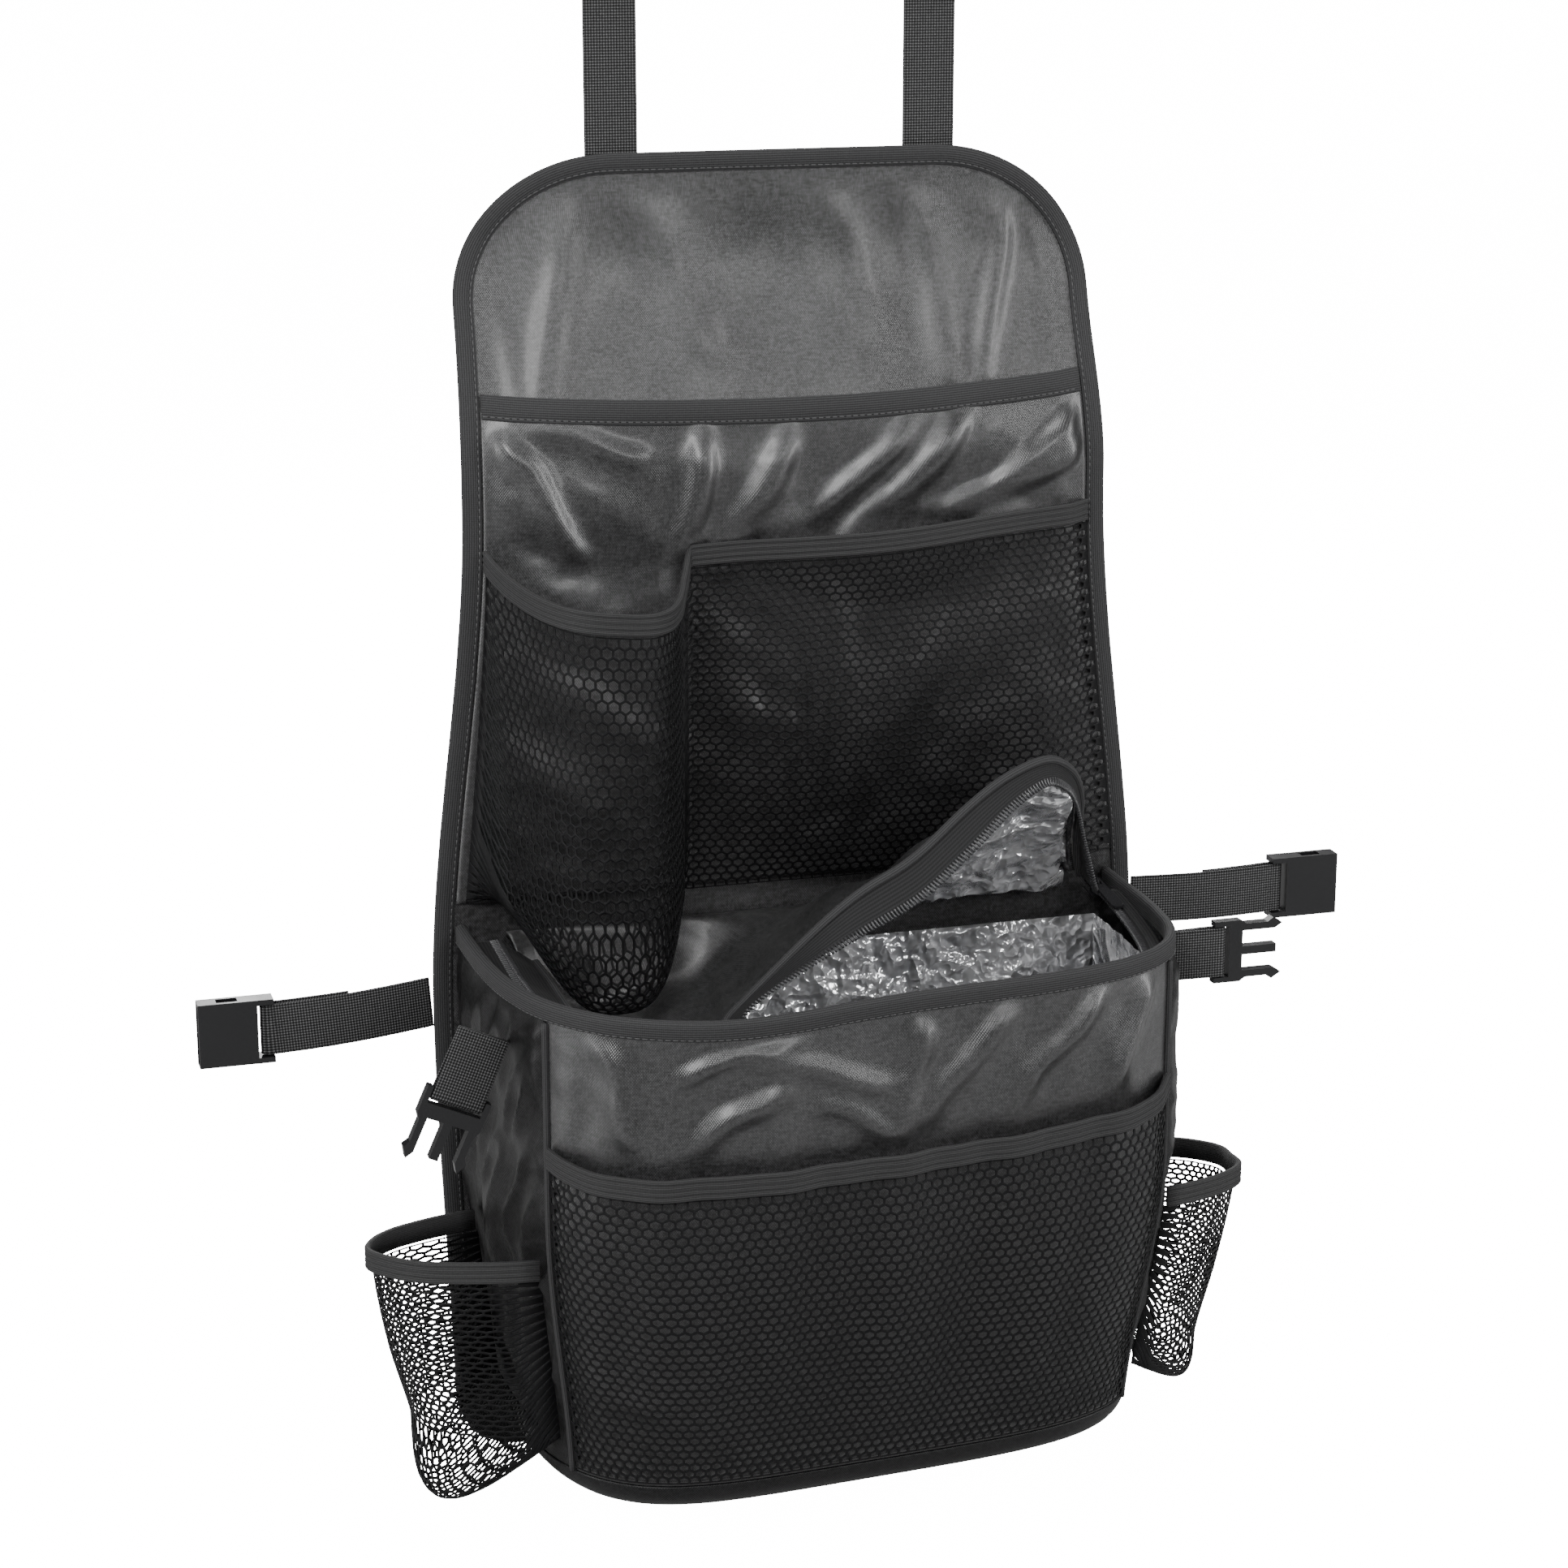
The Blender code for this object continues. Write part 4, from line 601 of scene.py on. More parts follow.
def lid_edge(share):
    """The lid's piping: inside the zip where it is closed, behind and above where raised."""
    place = CHAIN.at(share)
    inward = Vector((POUCH_X * 0.8, -0.060, place.z)) - place
    closed = place + inward.normalized() * LID_SKIRT + Vector((0, 0, -LID_PRESSED))
    raised = place + Vector((-0.10, 0.66, 0.74)).normalized() * LID_SKIRT
    crest = place + Vector((0.20, 0.45, 0.87)).normalized() * LID_SKIRT * 0.55
    ending = place + Vector((-0.50, 0.10, 0.60)).normalized() * LID_SKIRT * 0.7
    edge = closed.lerp(raised, lifted(share)).lerp(crest, smooth((share - 0.66) / 0.16))
    return edge.lerp(ending, smooth((share - 0.86) / 0.14))


def lid_place(share, v):
    """The lid's upper face: v runs from the hinge to the piping."""
    edge = lid_edge(share)
    hinge = Vector((mix(-LID_HINGE_HALF, LID_HINGE_HALF, smooth_share(share)),
                    COOLER_BACK - GAP - 0.0018, LID_HINGE_Z))
    across = edge - hinge
    along = (lid_edge(min(1, share + 0.01)) - lid_edge(max(0, share - 0.01))).normalized()
    inset = (PIPING_RADIUS + 2 * GAP) / max(0.006, across.cross(along).length)
    place = hinge.lerp(edge, v * (1 - inset))
    off = Vector((place.x - POUCH_X, place.y - LID_DENT_Y)).length / LID_DENT_RADIUS
    from_hinge = smooth((hinge.y - place.y) / LID_DENT_RAMP)
    place.z -= LID_DENT * math.exp(-off * off) * from_hinge * smooth((1.25 - v) / 0.6)
    puff = 0.006 * lifted(share) * math.sin(math.pi * v)
    ripple = 0.0016 * math.sin(46 * share + 5 * v) * math.sin(math.pi * v)
    return place + Vector((0, 0.3, 0.95)) * (puff + ripple)


def smooth_share(share):
    """Spreads the hinge side of the lid's cloth against its edge."""
    return mix(share, smooth(share), 0.35)


def lid_normal(share, v):
    """Square to the lid, away from its foil."""
    step = 0.01
    a = lid_place(min(1, share + step), v) - lid_place(max(0, share - step), v)
    b = lid_place(share, min(1, v + step)) - lid_place(share, max(0, v - step))
    return b.cross(a).normalized()


FRONT_FROM = CORNER_SHARE + 0.004       # share of the rim where the front pocket starts


def front_top(share):
    """Height of the front pocket's elastic."""
    off = (share - 0.5) / (0.5 - CORNER_SHARE)
    lift = 0.004 * smooth((off + 0.2) / 1.2)
    return FRONT_TOP - FRONT_DIP * (1 - off ** 6) + lift


def front_place(share, v, drop=0.0):
    """The front pocket's mesh: v runs up from its foot to its edge, lowered by drop."""
    z = mix(FRONT_BOTTOM + GAP, front_top(share) - drop, v)
    edge = smooth((min(share - CORNER_SHARE, 1 - CORNER_SHARE - share)) / 0.05)
    swell = math.sin(math.pi * v) ** 0.7 * (0.75 + 0.25 * math.sin(40 * share))
    bulge = FRONT_BULGE * edge * (swell + FRONT_MOUTH * v)
    return body(share, z, GAP * 2 + bulge)


def side_place(side, s, v, drop=0.0):
    """A side pocket's mesh: s runs from the panel to the front seam, v upwards."""
    share = mix(SIDE_FROM_SHARE, SIDE_TO_SHARE, s)
    reach_full = SIDE_REACH_LEFT if side < 0 else SIDE_REACH_RIGHT
    sag = SIDE_SAG_LEFT if side < 0 else SIDE_SAG_RIGHT
    off = abs(2 * s - 1)
    depth = reach_full * (1 - off ** 2.4) ** 0.75
    top = SIDE_TOP - drop + 0.006 * (2 * s - 1)
    down = 1 - v
    if down < POUCH_SHARE:
        z = mix(top, SIDE_LOW, down / POUCH_SHARE)
        reach = depth * (1 - SIDE_TAPER * (down / POUCH_SHARE) ** 2)
    else:
        part = (down - POUCH_SHARE) / (1 - POUCH_SHARE)
        reach = depth * (1 - SIDE_TAPER) * (1 - part ** BOTTOM_POWER)
        z = SIDE_LOW - sag * (depth / reach_full) ** 1.3 * bottom_drop(part)
    z = mix(mix(top, SIDE_LOW, down), z, smooth(depth / (0.3 * reach_full)))
    base = body(share if side < 0 else 1 - share, max(z, SIDE_LOW), GAP + WALL_FOLD)
    return Vector((base.x + side * reach, base.y, z))


LOOP_BEHIND = 2 * GAP + WEBBING / 2             # webbing's middle behind the panel's back face


def waist_line(side):
    """The middle of a waist strap, from the panel's edge to its buckle's bar."""
    z = WAIST_LEFT_Z if side < 0 else WAIST_RIGHT_Z
    edge = max(panel_half(z + rise) for rise in (-WEBBING_WIDTH / 2, 0, WEBBING_WIDTH / 2))
    drop = WAIST_FALL if side < 0 else 0.0
    turned = WEBBING_WIDTH / 2 * drop / (WAIST_REACH - edge)
    start = edge + TAPE + 1.75 * GAP + turned
    line = []
    for t in spread(0, 1, 9):
        bow = 0.003 * math.sin(math.pi * t)
        place = Vector((side * mix(start, WAIST_REACH, t), -PANEL_THICK / 2 - bow, z - drop * t))
        line.append(place)
    return line


def tab_line(side):
    """The middle of a side tab: straight out at the right, hanging by its corner at the left."""
    if side > 0:
        start = body(TAB_RIGHT_SHARE, TAB_RIGHT_Z, 2 * GAP)
        line = [start + Vector((t * TAB_LENGTH, 0, 0)) for t in spread(0, 1, 6)]
        return line, [Vector((1, 0, 0))] * len(line)
    corner = body(TAB_LEFT_SHARE, TAB_LEFT_Z, 2 * GAP)
    ahead = Vector((-math.cos(TAB_LEFT_FALL), 0, -math.sin(TAB_LEFT_FALL)))
    start = corner + Vector((ahead.z, 0, -ahead.x)) * (WEBBING_WIDTH / 2)
    line = [start + ahead * TAB_LENGTH * t for t in spread(0, 1, 6)]
    return line, [ahead] * len(line)


# Making pieces

def wrinkle(p, size, seed=0.0):
    """Smooth noise from -1 to 1 over a given size."""
    return noise.noise(Vector((p[0] / size + seed, p[1] / size - seed, p[2] / size + 0.37 * seed)))


def crease(p, size, seed=0.0):
    """Sharp ridges, as in crumpled film or a hard fold."""
    return 1 - 2 * abs(wrinkle(p, size, seed))


def soft_folds(x, z, folds):
    """Long rounded folds in cloth, each from (x, z) to (x, z) with its half width and height."""
    total = 0.0
    for x0, z0, x1, z1, wide, high in folds:
        ax, az = x1 - x0, z1 - z0
        t = ((x - x0) * ax + (z - z0) * az) / (ax * ax + az * az)
        near = min(1.0, max(0.0, t))
        side = ((x - x0) * az - (z - z0) * ax) / math.hypot(ax, az)
        bend = side + 0.35 * wide * math.sin(5 * t)
        past = math.hypot(ax, az) * abs(t - near)
        total += 1.35 * high * math.exp(-(bend / wide) ** 2 - (past / (1.6 * wide)) ** 2)
    return total


def new_object(name, mesh, mat):
    mesh.materials.append(mat)
    mesh.shade_smooth()
    obj = bpy.data.objects.new(name, mesh)
    bpy.context.scene.collection.objects.link(obj)
    return obj


def faced_object(name, verts, faces, mat):
    mesh = bpy.data.meshes.new(name)
    mesh.from_pydata([tuple(v) for v in verts], [], faces)
    return new_object(name, mesh, mat)


def thicken(obj, thickness, offset):
    solid = obj.modifiers.new("Thickness", "SOLIDIFY")
    solid.thickness = thickness
    solid.offset = offset
    solid.use_even_offset = False
    return obj


def fade(s, t, sides, foot, top):
    """1 inside a grid, falling to 0 at its edges over the given shares."""
    return smooth(min(s, 1 - s) / sides) * smooth(t / foot) * smooth((1 - t) / top)


def settle(obj, *nodes):
    """Rides on the organizer and stands for its CAD nodes."""
    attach(obj, BODY)
    if nodes:
        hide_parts(*nodes)
    return obj


def lengths(points):
    """Distance along a row of points."""
    steps = np.linalg.norm(np.diff(points, axis=0), axis=1)
    return np.concatenate([[0.0], np.cumsum(steps)])


def grid_points(place, us, vs):
    return np.array([[tuple(place(u, v)) for u in us] for v in vs], float)


def grid_normals(points):
    across = np.gradient(points, axis=1)
    upward = np.gradient(points, axis=0)
    normal = np.cross(across, upward)
    return normal / np.maximum(np.linalg.norm(normal, axis=2, keepdims=True), 1e-12)


def raised(points, height):
    """The grid moved along its normals by height(place, share across, share up)."""
    normal = grid_normals(points)
    rows, columns = points.shape[:2]
    lift = np.array([[height(points[j, i], i / (columns - 1), j / (rows - 1))
                      for i in range(columns)] for j in range(rows)])
    return points + normal * lift[:, :, None]


def grid_object(name, points, mat, closed=False):
    """A sheet through a grid of points, with its own width and length in metres as its map."""
    rows, columns = points.shape[:2]
    mesh = bpy.data.meshes.new(name)
    faces = []
    around = columns if closed else columns - 1
    for j in range(rows - 1):
        for i in range(around):
            low = j * columns + i
            next_low = j * columns + (i + 1) % columns
            faces.append((low, next_low, next_low + columns, low + columns))
    mesh.from_pydata(points.reshape(-1, 3).tolist(), [], faces)
    ring = np.concatenate([points, points[:, :1]], axis=1) if closed else points
    u = lengths(ring[rows // 2])
    v = lengths(points[:, columns // 2])
    layer = mesh.uv_layers.new(name="UVMap")
    corners = []
    for j in range(rows - 1):
        for i in range(around):
            corners += [u[i], v[j], u[i + 1], v[j], u[i + 1], v[j + 1], u[i], v[j + 1]]
    layer.data.foreach_set("uv", np.array(corners, np.float32))
    return new_object(name, mesh, mat)


def swept(name, stations, section, mat, closed=False):
    """A section of (side, up) points carried along (place, side axis, up axis)."""
    rings = []
    for place, side, up in stations:
        rings.append([tuple(place + side * a + up * b) for a, b in section])
    if closed:
        rings.append(rings[0])
    obj = grid_object(name, np.array(rings, float), mat, closed=True)
    close_tube(obj, len(section), first=not closed, last=not closed)
    return obj


def close_tube(obj, count, first=True, last=False):
    """Caps a tube's first or last ring of points, or joins them, and turns its faces outwards."""
    bm = bmesh.new()
    bm.from_mesh(obj.data)
    bm.verts.ensure_lookup_table()
    if first:
        bm.faces.new([bm.verts[i] for i in reversed(range(count))])
    if last:
        bm.faces.new([bm.verts[len(bm.verts) - count + i] for i in range(count)])
    if not first and not last:
        bmesh.ops.remove_doubles(bm, verts=bm.verts[:], dist=JOIN)
    bmesh.ops.recalc_face_normals(bm, faces=bm.faces[:])
    bm.to_mesh(obj.data)
    bm.free()
    obj.data.shade_smooth()


def soft_bar(half_side, half_up, corner, steps=3):
    """A rectangle with rounded corners."""
    made = []
    for sx, sy, first in ((1, 1, 0.0), (-1, 1, 0.5), (-1, -1, 1.0), (1, -1, 1.5)):
        for k in range(steps + 1):
            turn = math.pi * (first + 0.5 * k / steps)
            made.append((sx * (half_side - corner) + corner * math.cos(turn),
                         sy * (half_up - corner) + corner * math.sin(turn)))
    return made


def hex_net(name, place, columns, levels):
    """Mesh cloth: staggered six-sided openings between thin strands."""
    bm = bmesh.new()
    halves = 2 * columns
    lines = []
    for j, level in enumerate(levels):
        line = []
        for i in range(halves + 1):
            zigzag = 0.0
            if 0 < j < len(levels) - 1:
                step = min(level - levels[j - 1], levels[j + 1] - level)
                zigzag = (1 if (i + j) % 2 == 0 else -1) * step / 6
            line.append(bm.verts.new(place(i / halves, level + zigzag)))
        lines.append(line)
    cells = []
    for j in range(len(levels) - 1):
        low, high = lines[j], lines[j + 1]
        start = j % 2
        if start:
            bm.faces.new((low[0], low[1], high[1], high[0]))
            bm.faces.new((low[-2], low[-1], high[-1], high[-2]))
        for i in range(start, halves - 1, 2):
            cells.append(bm.faces.new((low[i], low[i + 1], low[i + 2],
                                       high[i + 2], high[i + 1], high[i])))
    bm.normal_update()
    cells = [c for c in cells if 2 * c.calc_area() / c.calc_perimeter() > 1.5 * NET_STRAND_HALF]
    bmesh.ops.inset_individual(bm, faces=cells, thickness=NET_STRAND_HALF, use_even_offset=True)
    bmesh.ops.delete(bm, geom=cells, context="FACES")
    mesh = bpy.data.meshes.new(name)
    bm.to_mesh(mesh)
    bm.free()
    return thicken(new_object(name, mesh, MESH_LOOK), NET_THICK, 1.0)


def along_line(values, reach, at):
    """The place or direction at a distance along a row of them."""
    return np.array([np.interp(at, reach, values[:, a]) for a in range(3)])


def stitches(name, lines):
    """Rows of single stitches lying on the cloth along (points, normals) lines."""
    verts, faces = [], []
    for points, normals in lines:
        points = np.array([tuple(p) for p in points], float)
        normals = np.array([tuple(n) for n in normals], float)
        reach = lengths(points)
        for k in range(int(reach[-1] / STITCH_PITCH)):
            at = (k + 0.5) * STITCH_PITCH
            place = along_line(points, reach, at)
            ahead = (along_line(points, reach, at + STITCH_LENGTH / 2)
                     - along_line(points, reach, at - STITCH_LENGTH / 2))
            up = along_line(normals, reach, at)
            ahead /= max(1e-9, np.linalg.norm(ahead))
            side = np.cross(ahead, up)
            side /= max(1e-9, np.linalg.norm(side))
            up = np.cross(side, ahead)
            first = len(verts)
            for t, lift in STITCH_PROFILE:
                for a in (-1, 0, 1):
                    high = STITCH_WIDTH * lift * (1.0 if a == 0 else 0.35) - STITCH_SINK
                    wide = STITCH_WIDTH / 2 * (1.0 if 0 < lift else 0.5)
                    verts.append(place + ahead * t * STITCH_LENGTH + side * a * wide + up * high)
            for r in range(3):
                for c in range(2):
                    i = first + 3 * r + c
                    faces.append((i, i + 3, i + 4, i + 1))
    return settle(faced_object(name, verts, faces, THREAD_LOOK))


# Materials

class Nodes:
    """A short hand for one material's nodes."""

    def __init__(self, name):
        self.mat = bpy.data.materials.new(name)
        self.mat.use_nodes = True
        self.tree = self.mat.node_tree
        self.shader = self.tree.nodes["Principled BSDF"]

    def add(self, kind, **inputs):
        node = self.tree.nodes.new(kind)
        for key, value in inputs.items():
            node.inputs[key].default_value = value
        return node

    def set(self, **inputs):
        for key, value in inputs.items():
            self.shader.inputs[key.replace("_", " ")].default_value = value

    def link(self, a, b):
        self.tree.links.new(a, b)

    def maths(self, kind, a, b=None, c=None):
        node = self.tree.nodes.new("ShaderNodeMath")
        node.operation = kind
        for i, value in enumerate((a, b, c)):
            if value is None:
                continue
            if isinstance(value, (int, float)):
                node.inputs[i].default_value = value
            else:
                self.link(value, node.inputs[i])
        return node.outputs[0]

    def wave(self, value, pitch):
        """-1 to 1 and back, once for each pitch."""
        return self.maths("SINE", self.maths("MULTIPLY", value, math.tau / pitch))

    def halved(self, value):
        """From -1 to 1 turned into 0 to 1."""
        return self.maths("MULTIPLY_ADD", value, 0.5, 0.5)

    def uv(self):
        split = self.add("ShaderNodeSeparateXYZ")
        self.link(self.add("ShaderNodeUVMap").outputs["UV"], split.inputs[0])
        return split.outputs[0], split.outputs[1]

    def noise(self, scale, detail=2.0, roughness=0.6, stretch=None):
        node = self.add("ShaderNodeTexNoise", Scale=scale, Detail=detail, Roughness=roughness)
        vector = self.add("ShaderNodeTexCoord").outputs["Object"]
        if stretch is not None:
            mapping = self.add("ShaderNodeMapping", Scale=stretch)
            self.link(vector, mapping.inputs["Vector"])
            vector = mapping.outputs[0]
        self.link(vector, node.inputs["Vector"])
        return node.outputs[0]

    def ramp(self, value, low, high, a, b):
        node = self.tree.nodes.new("ShaderNodeMapRange")
        for i, v in enumerate((low, high, a, b)):
            node.inputs[i + 1].default_value = v
        self.link(value, node.inputs[0])
        return node.outputs[0]

    def colour(self, factor, dark, light):
        node = self.tree.nodes.new("ShaderNodeMix")
        node.data_type = "RGBA"
        node.inputs[6].default_value = (*dark, 1)
        node.inputs[7].default_value = (*light, 1)
        self.link(factor, node.inputs[0])
        self.link(node.outputs[2], self.shader.inputs["Base Color"])

    def rough(self, value):
        self.link(value, self.shader.inputs["Roughness"])

    def bump(self, height, distance, strength=1.0, after=None):
        node = self.add("ShaderNodeBump", Strength=strength, Distance=distance)
        self.link(height, node.inputs["Height"])
        if after is not None:
            self.link(after, node.inputs["Normal"])
        self.link(node.outputs[0], self.shader.inputs["Normal"])
        return node.outputs[0]


def nylon(name, dark, light, roughness, shine=0.65, coat=0.30, gloss=0.26):
    """Coated woven nylon: a fine plain weave with uneven bright yarns, and a soft shine."""
    n = Nodes(name)
    u, v = n.uv()
    weave = n.halved(n.maths("MULTIPLY", n.wave(u, WARP), n.wave(v, WEFT)))
    yarn = n.noise(1100.0, stretch=(1.0, 1.0, 0.35))
    cross = n.noise(900.0, stretch=(0.3, 0.3, 1.0))
    grain = n.maths("MULTIPLY_ADD", cross, 0.5, n.maths("MULTIPLY", yarn, 0.5))
    cloud = n.noise(9.0, 3.0, 0.55)
    dots = n.maths("POWER", weave, 2.0)
    bright = n.ramp(grain, 0.38, 0.62, 0.1, 1.0)
    uneven = n.maths("ADD", bright, n.ramp(cloud, 0.35, 0.65, 0.0, 0.25))
    n.colour(n.maths("MULTIPLY", n.maths("MULTIPLY_ADD", dots, 0.75, 0.22), uneven), dark, light)
    n.rough(n.ramp(cloud, 0.3, 0.7, roughness - 0.05, roughness + 0.07))
    n.bump(grain, 0.00025, 0.30, n.bump(weave, 0.00030, 0.40))
    n.set(Specular_IOR_Level=shine, Coat_Weight=coat, Coat_Roughness=gloss)
    return n.mat


def ribbed(name, dark, light, pitch, along=True):
    """Narrow woven tape or elastic with ribs across it or along it."""
    n = Nodes(name)
    u, v = n.uv()
    rib = n.halved(n.wave(v if along else u, pitch))
    fine = n.halved(n.wave(u if along else v, pitch * 0.8))
    fuzz = n.noise(1500.0)
    both = n.maths("MULTIPLY_ADD", rib, 0.65, n.maths("MULTIPLY", fine, 0.20))
    tone = n.maths("MULTIPLY_ADD", fuzz, 0.35, n.maths("MULTIPLY", both, 0.65))
    n.colour(tone, dark, light)
    n.bump(fuzz, 0.00018, 0.3, n.bump(both, 0.0002, 0.8))
    n.set(Roughness=0.72, Specular_IOR_Level=0.25, Sheen_Weight=0.03, Sheen_Roughness=0.4)
    return n.mat


def webbing_cloth(name, dark, light):
    """Coarse webbing: diagonal steps of thick yarns."""
    n = Nodes(name)
    u, v = n.uv()
    across = n.maths("MULTIPLY", u, math.tau / WEBBING_YARN)
    along = n.maths("MULTIPLY", v, math.tau / WEBBING_YARN)
    one = n.maths("SINE", n.maths("ADD", across, along))
    two = n.maths("SINE", n.maths("SUBTRACT", across, along))
    knots = n.halved(n.maths("MULTIPLY", one, two))
    fuzz = n.noise(1400.0)
    tone = n.maths("MULTIPLY", n.maths("POWER", knots, 2.2), n.ramp(fuzz, 0.3, 0.7, 0.55, 1.0))
    n.colour(tone, dark, light)
    n.bump(fuzz, 0.0002, 0.3, n.bump(knots, 0.00065))
    n.set(Roughness=0.62, Specular_IOR_Level=0.30, Sheen_Weight=0.03, Sheen_Roughness=0.4)
    return n.mat


def foil(name):
    """Silver film, crumpled into sharp creases, with painted shade darkening its colour in the
    hollows between the ridges.
    """
    n = Nodes(name)
    creases = None
    for scale, weight in ((24.0, 0.60), (56.0, 0.27), (130.0, 0.13)):
        fold = n.maths("ABSOLUTE", n.maths("SUBTRACT", n.noise(scale, 1.0, 0.5), 0.5))
        part = n.maths("MULTIPLY", fold, -4.0 * weight)
        creases = part if creases is None else n.maths("ADD", creases, part)
    small = n.noise(190.0, 3.0)
    n.set(Metallic=0.68)
    # The colour follows the creases' height: painted shade, darker the lower the film lies between
    # the ridges.
    n.colour(n.ramp(creases, -0.9, -0.1, 0, 1), (0.42, 0.43, 0.45), (0.99, 0.99, 1.0))
    n.rough(n.ramp(small, 0.3, 0.7, 0.13, 0.26))
    n.bump(creases, 0.0130)
    return n.mat


def plastic(name, base, roughness, grain=0.00004):
    n = Nodes(name)
    speck = n.noise(2600.0, 2.0, 0.5)
    cloud = n.noise(35.0, 2.0, 0.5)
    n.colour(cloud, tuple(c * 0.85 for c in base), tuple(c * 1.25 for c in base))
    n.rough(n.ramp(cloud, 0.3, 0.7, roughness - 0.04, roughness + 0.06))
    n.bump(speck, grain, 0.5)
    return n.mat


def mesh_yarn(name, dark, light):
    n = Nodes(name)
    fuzz = n.noise(2200.0)
    n.colour(fuzz, dark, light)
    n.bump(fuzz, 0.0002, 0.5)
    n.set(Roughness=0.55, Specular_IOR_Level=0.22)
    return n.mat


BLACK = (0.001, 0.001, 0.001)
DARK = (0.002, 0.002, 0.002)
NYLON_LOOK = nylon("nylon_look", DARK, (0.110, 0.110, 0.112), 0.36)
LOOSE_LOOK = nylon("loose_nylon_look", BLACK, (0.078, 0.078, 0.080), 0.32, 0.75, 0.40, 0.23)
# A darker, duller copy of the same nylon: painted shade for the cooler's side walls and its floor.
SHADED_NYLON_LOOK = nylon("shaded_nylon_look", BLACK, (0.024, 0.024, 0.025), 0.36, 0.24, 0.07)
TAPE_LOOK = ribbed("tape_look", DARK, (0.072, 0.072, 0.074), 0.0011, along=False)
ELASTIC_LOOK = ribbed("elastic_look", DARK, (0.070, 0.070, 0.071), 0.0009, along=False)
ZIP_LOOK = ribbed("zip_tape_look", BLACK, (0.028, 0.028, 0.029), 0.0015)
WEBBING_LOOK = webbing_cloth("webbing_look", BLACK, (0.200, 0.200, 0.204))
MESH_LOOK = mesh_yarn("mesh_look", BLACK, (0.006, 0.006, 0.007))
FOIL_LOOK = foil("foil_look")
BUCKLE_LOOK = plastic("buckle_look", (0.008, 0.008, 0.009), 0.34)
COIL_LOOK = plastic("coil_look", (0.040, 0.040, 0.042), 0.24)
METAL_LOOK = plastic("metal_look", (0.014, 0.014, 0.015), 0.20, 0.00002)
THREAD_LOOK = plastic("thread_look", (0.060, 0.060, 0.061), 0.50)


# Back panel and its binding

def panel_levels(foot, middle, shoulder):
    """Heights up the panel's edge, close together where it curves."""
    chest = PANEL_TOP - SHOULDER_HEIGHT
    quarter = math.pi / 2
    levels = [PANEL_BOTTOM + FOOT_RADIUS * (1 - math.cos(quarter * i / foot))
              for i in range(foot + 1)]
    levels += spread(PANEL_BOTTOM + FOOT_RADIUS, chest, middle)[1:]
    levels += [chest + SHOULDER_HEIGHT * math.sin(quarter * i / shoulder)
               for i in range(1, shoulder + 1)]
    return levels


def panel_outline(step):
    """The panel's edge, from the middle of its foot round to the middle again."""
    right = [Vector((panel_half(z), lean(z), z)) for z in panel_levels(14, 100, 30)]
    left = [Vector((-p.x, p.y, p.z)) for p in reversed(right)]
    line = right + left
    line.append(line[0])
    curve = Line(line)
    count = int(curve.reach[-1] / step)
    return [curve.at(i / count) for i in range(count)]


def panel_cloth():
    """The padded panel, thinner where the binding grips it."""
    levels = panel_levels(12, 110, 20)

    def place(u, v):
        z = levels[round(v)]
        x = u * panel_half(z)
        return Vector((x, lean(z) - panel_fold(x, z) - PANEL_THICK, z))

    points = grid_points(place, spread(-1, 1, 141), range(len(levels)))

    def height(p, s, t):
        x, z = p[0], p[2]
        inside = smooth((panel_half(z) - BINDING_WIDTH - abs(x)) / 0.03)
        top = smooth((z - 0.46) / 0.04) * smooth((PANEL_TOP - BINDING_WIDTH - 0.004 - z) / 0.03)
        broad = 0.0018 * wrinkle((x * 1.2, 0, z * 0.45), 0.045, 3.1)
        fine = 0.00035 * wrinkle((x, 0, z * 0.6), 0.011, 1.3)
        return inside * (top * (broad + soft_folds(x, z, PANEL_FOLDS)) + fine)

    cloth = grid_object("panel_cloth", raised(points, height), NYLON_LOOK)
    board = thicken(cloth, PANEL_THICK, -1.0).modifiers["Thickness"]
    grip = cloth.vertex_groups.new(name="board")
    for i, p in enumerate(points.reshape(-1, 3)):
        inward = min(panel_half(p[2]) - abs(p[0]), p[2] - PANEL_BOTTOM, PANEL_TOP - p[2])
        share = min(1.0, max(0.0, (inward - BINDING_WIDTH - 0.005) / 0.005))
        grip.add([i], mix(0.25, 1.0, share), "REPLACE")
    board.vertex_group = "board"
    return settle(cloth, "back_panel")


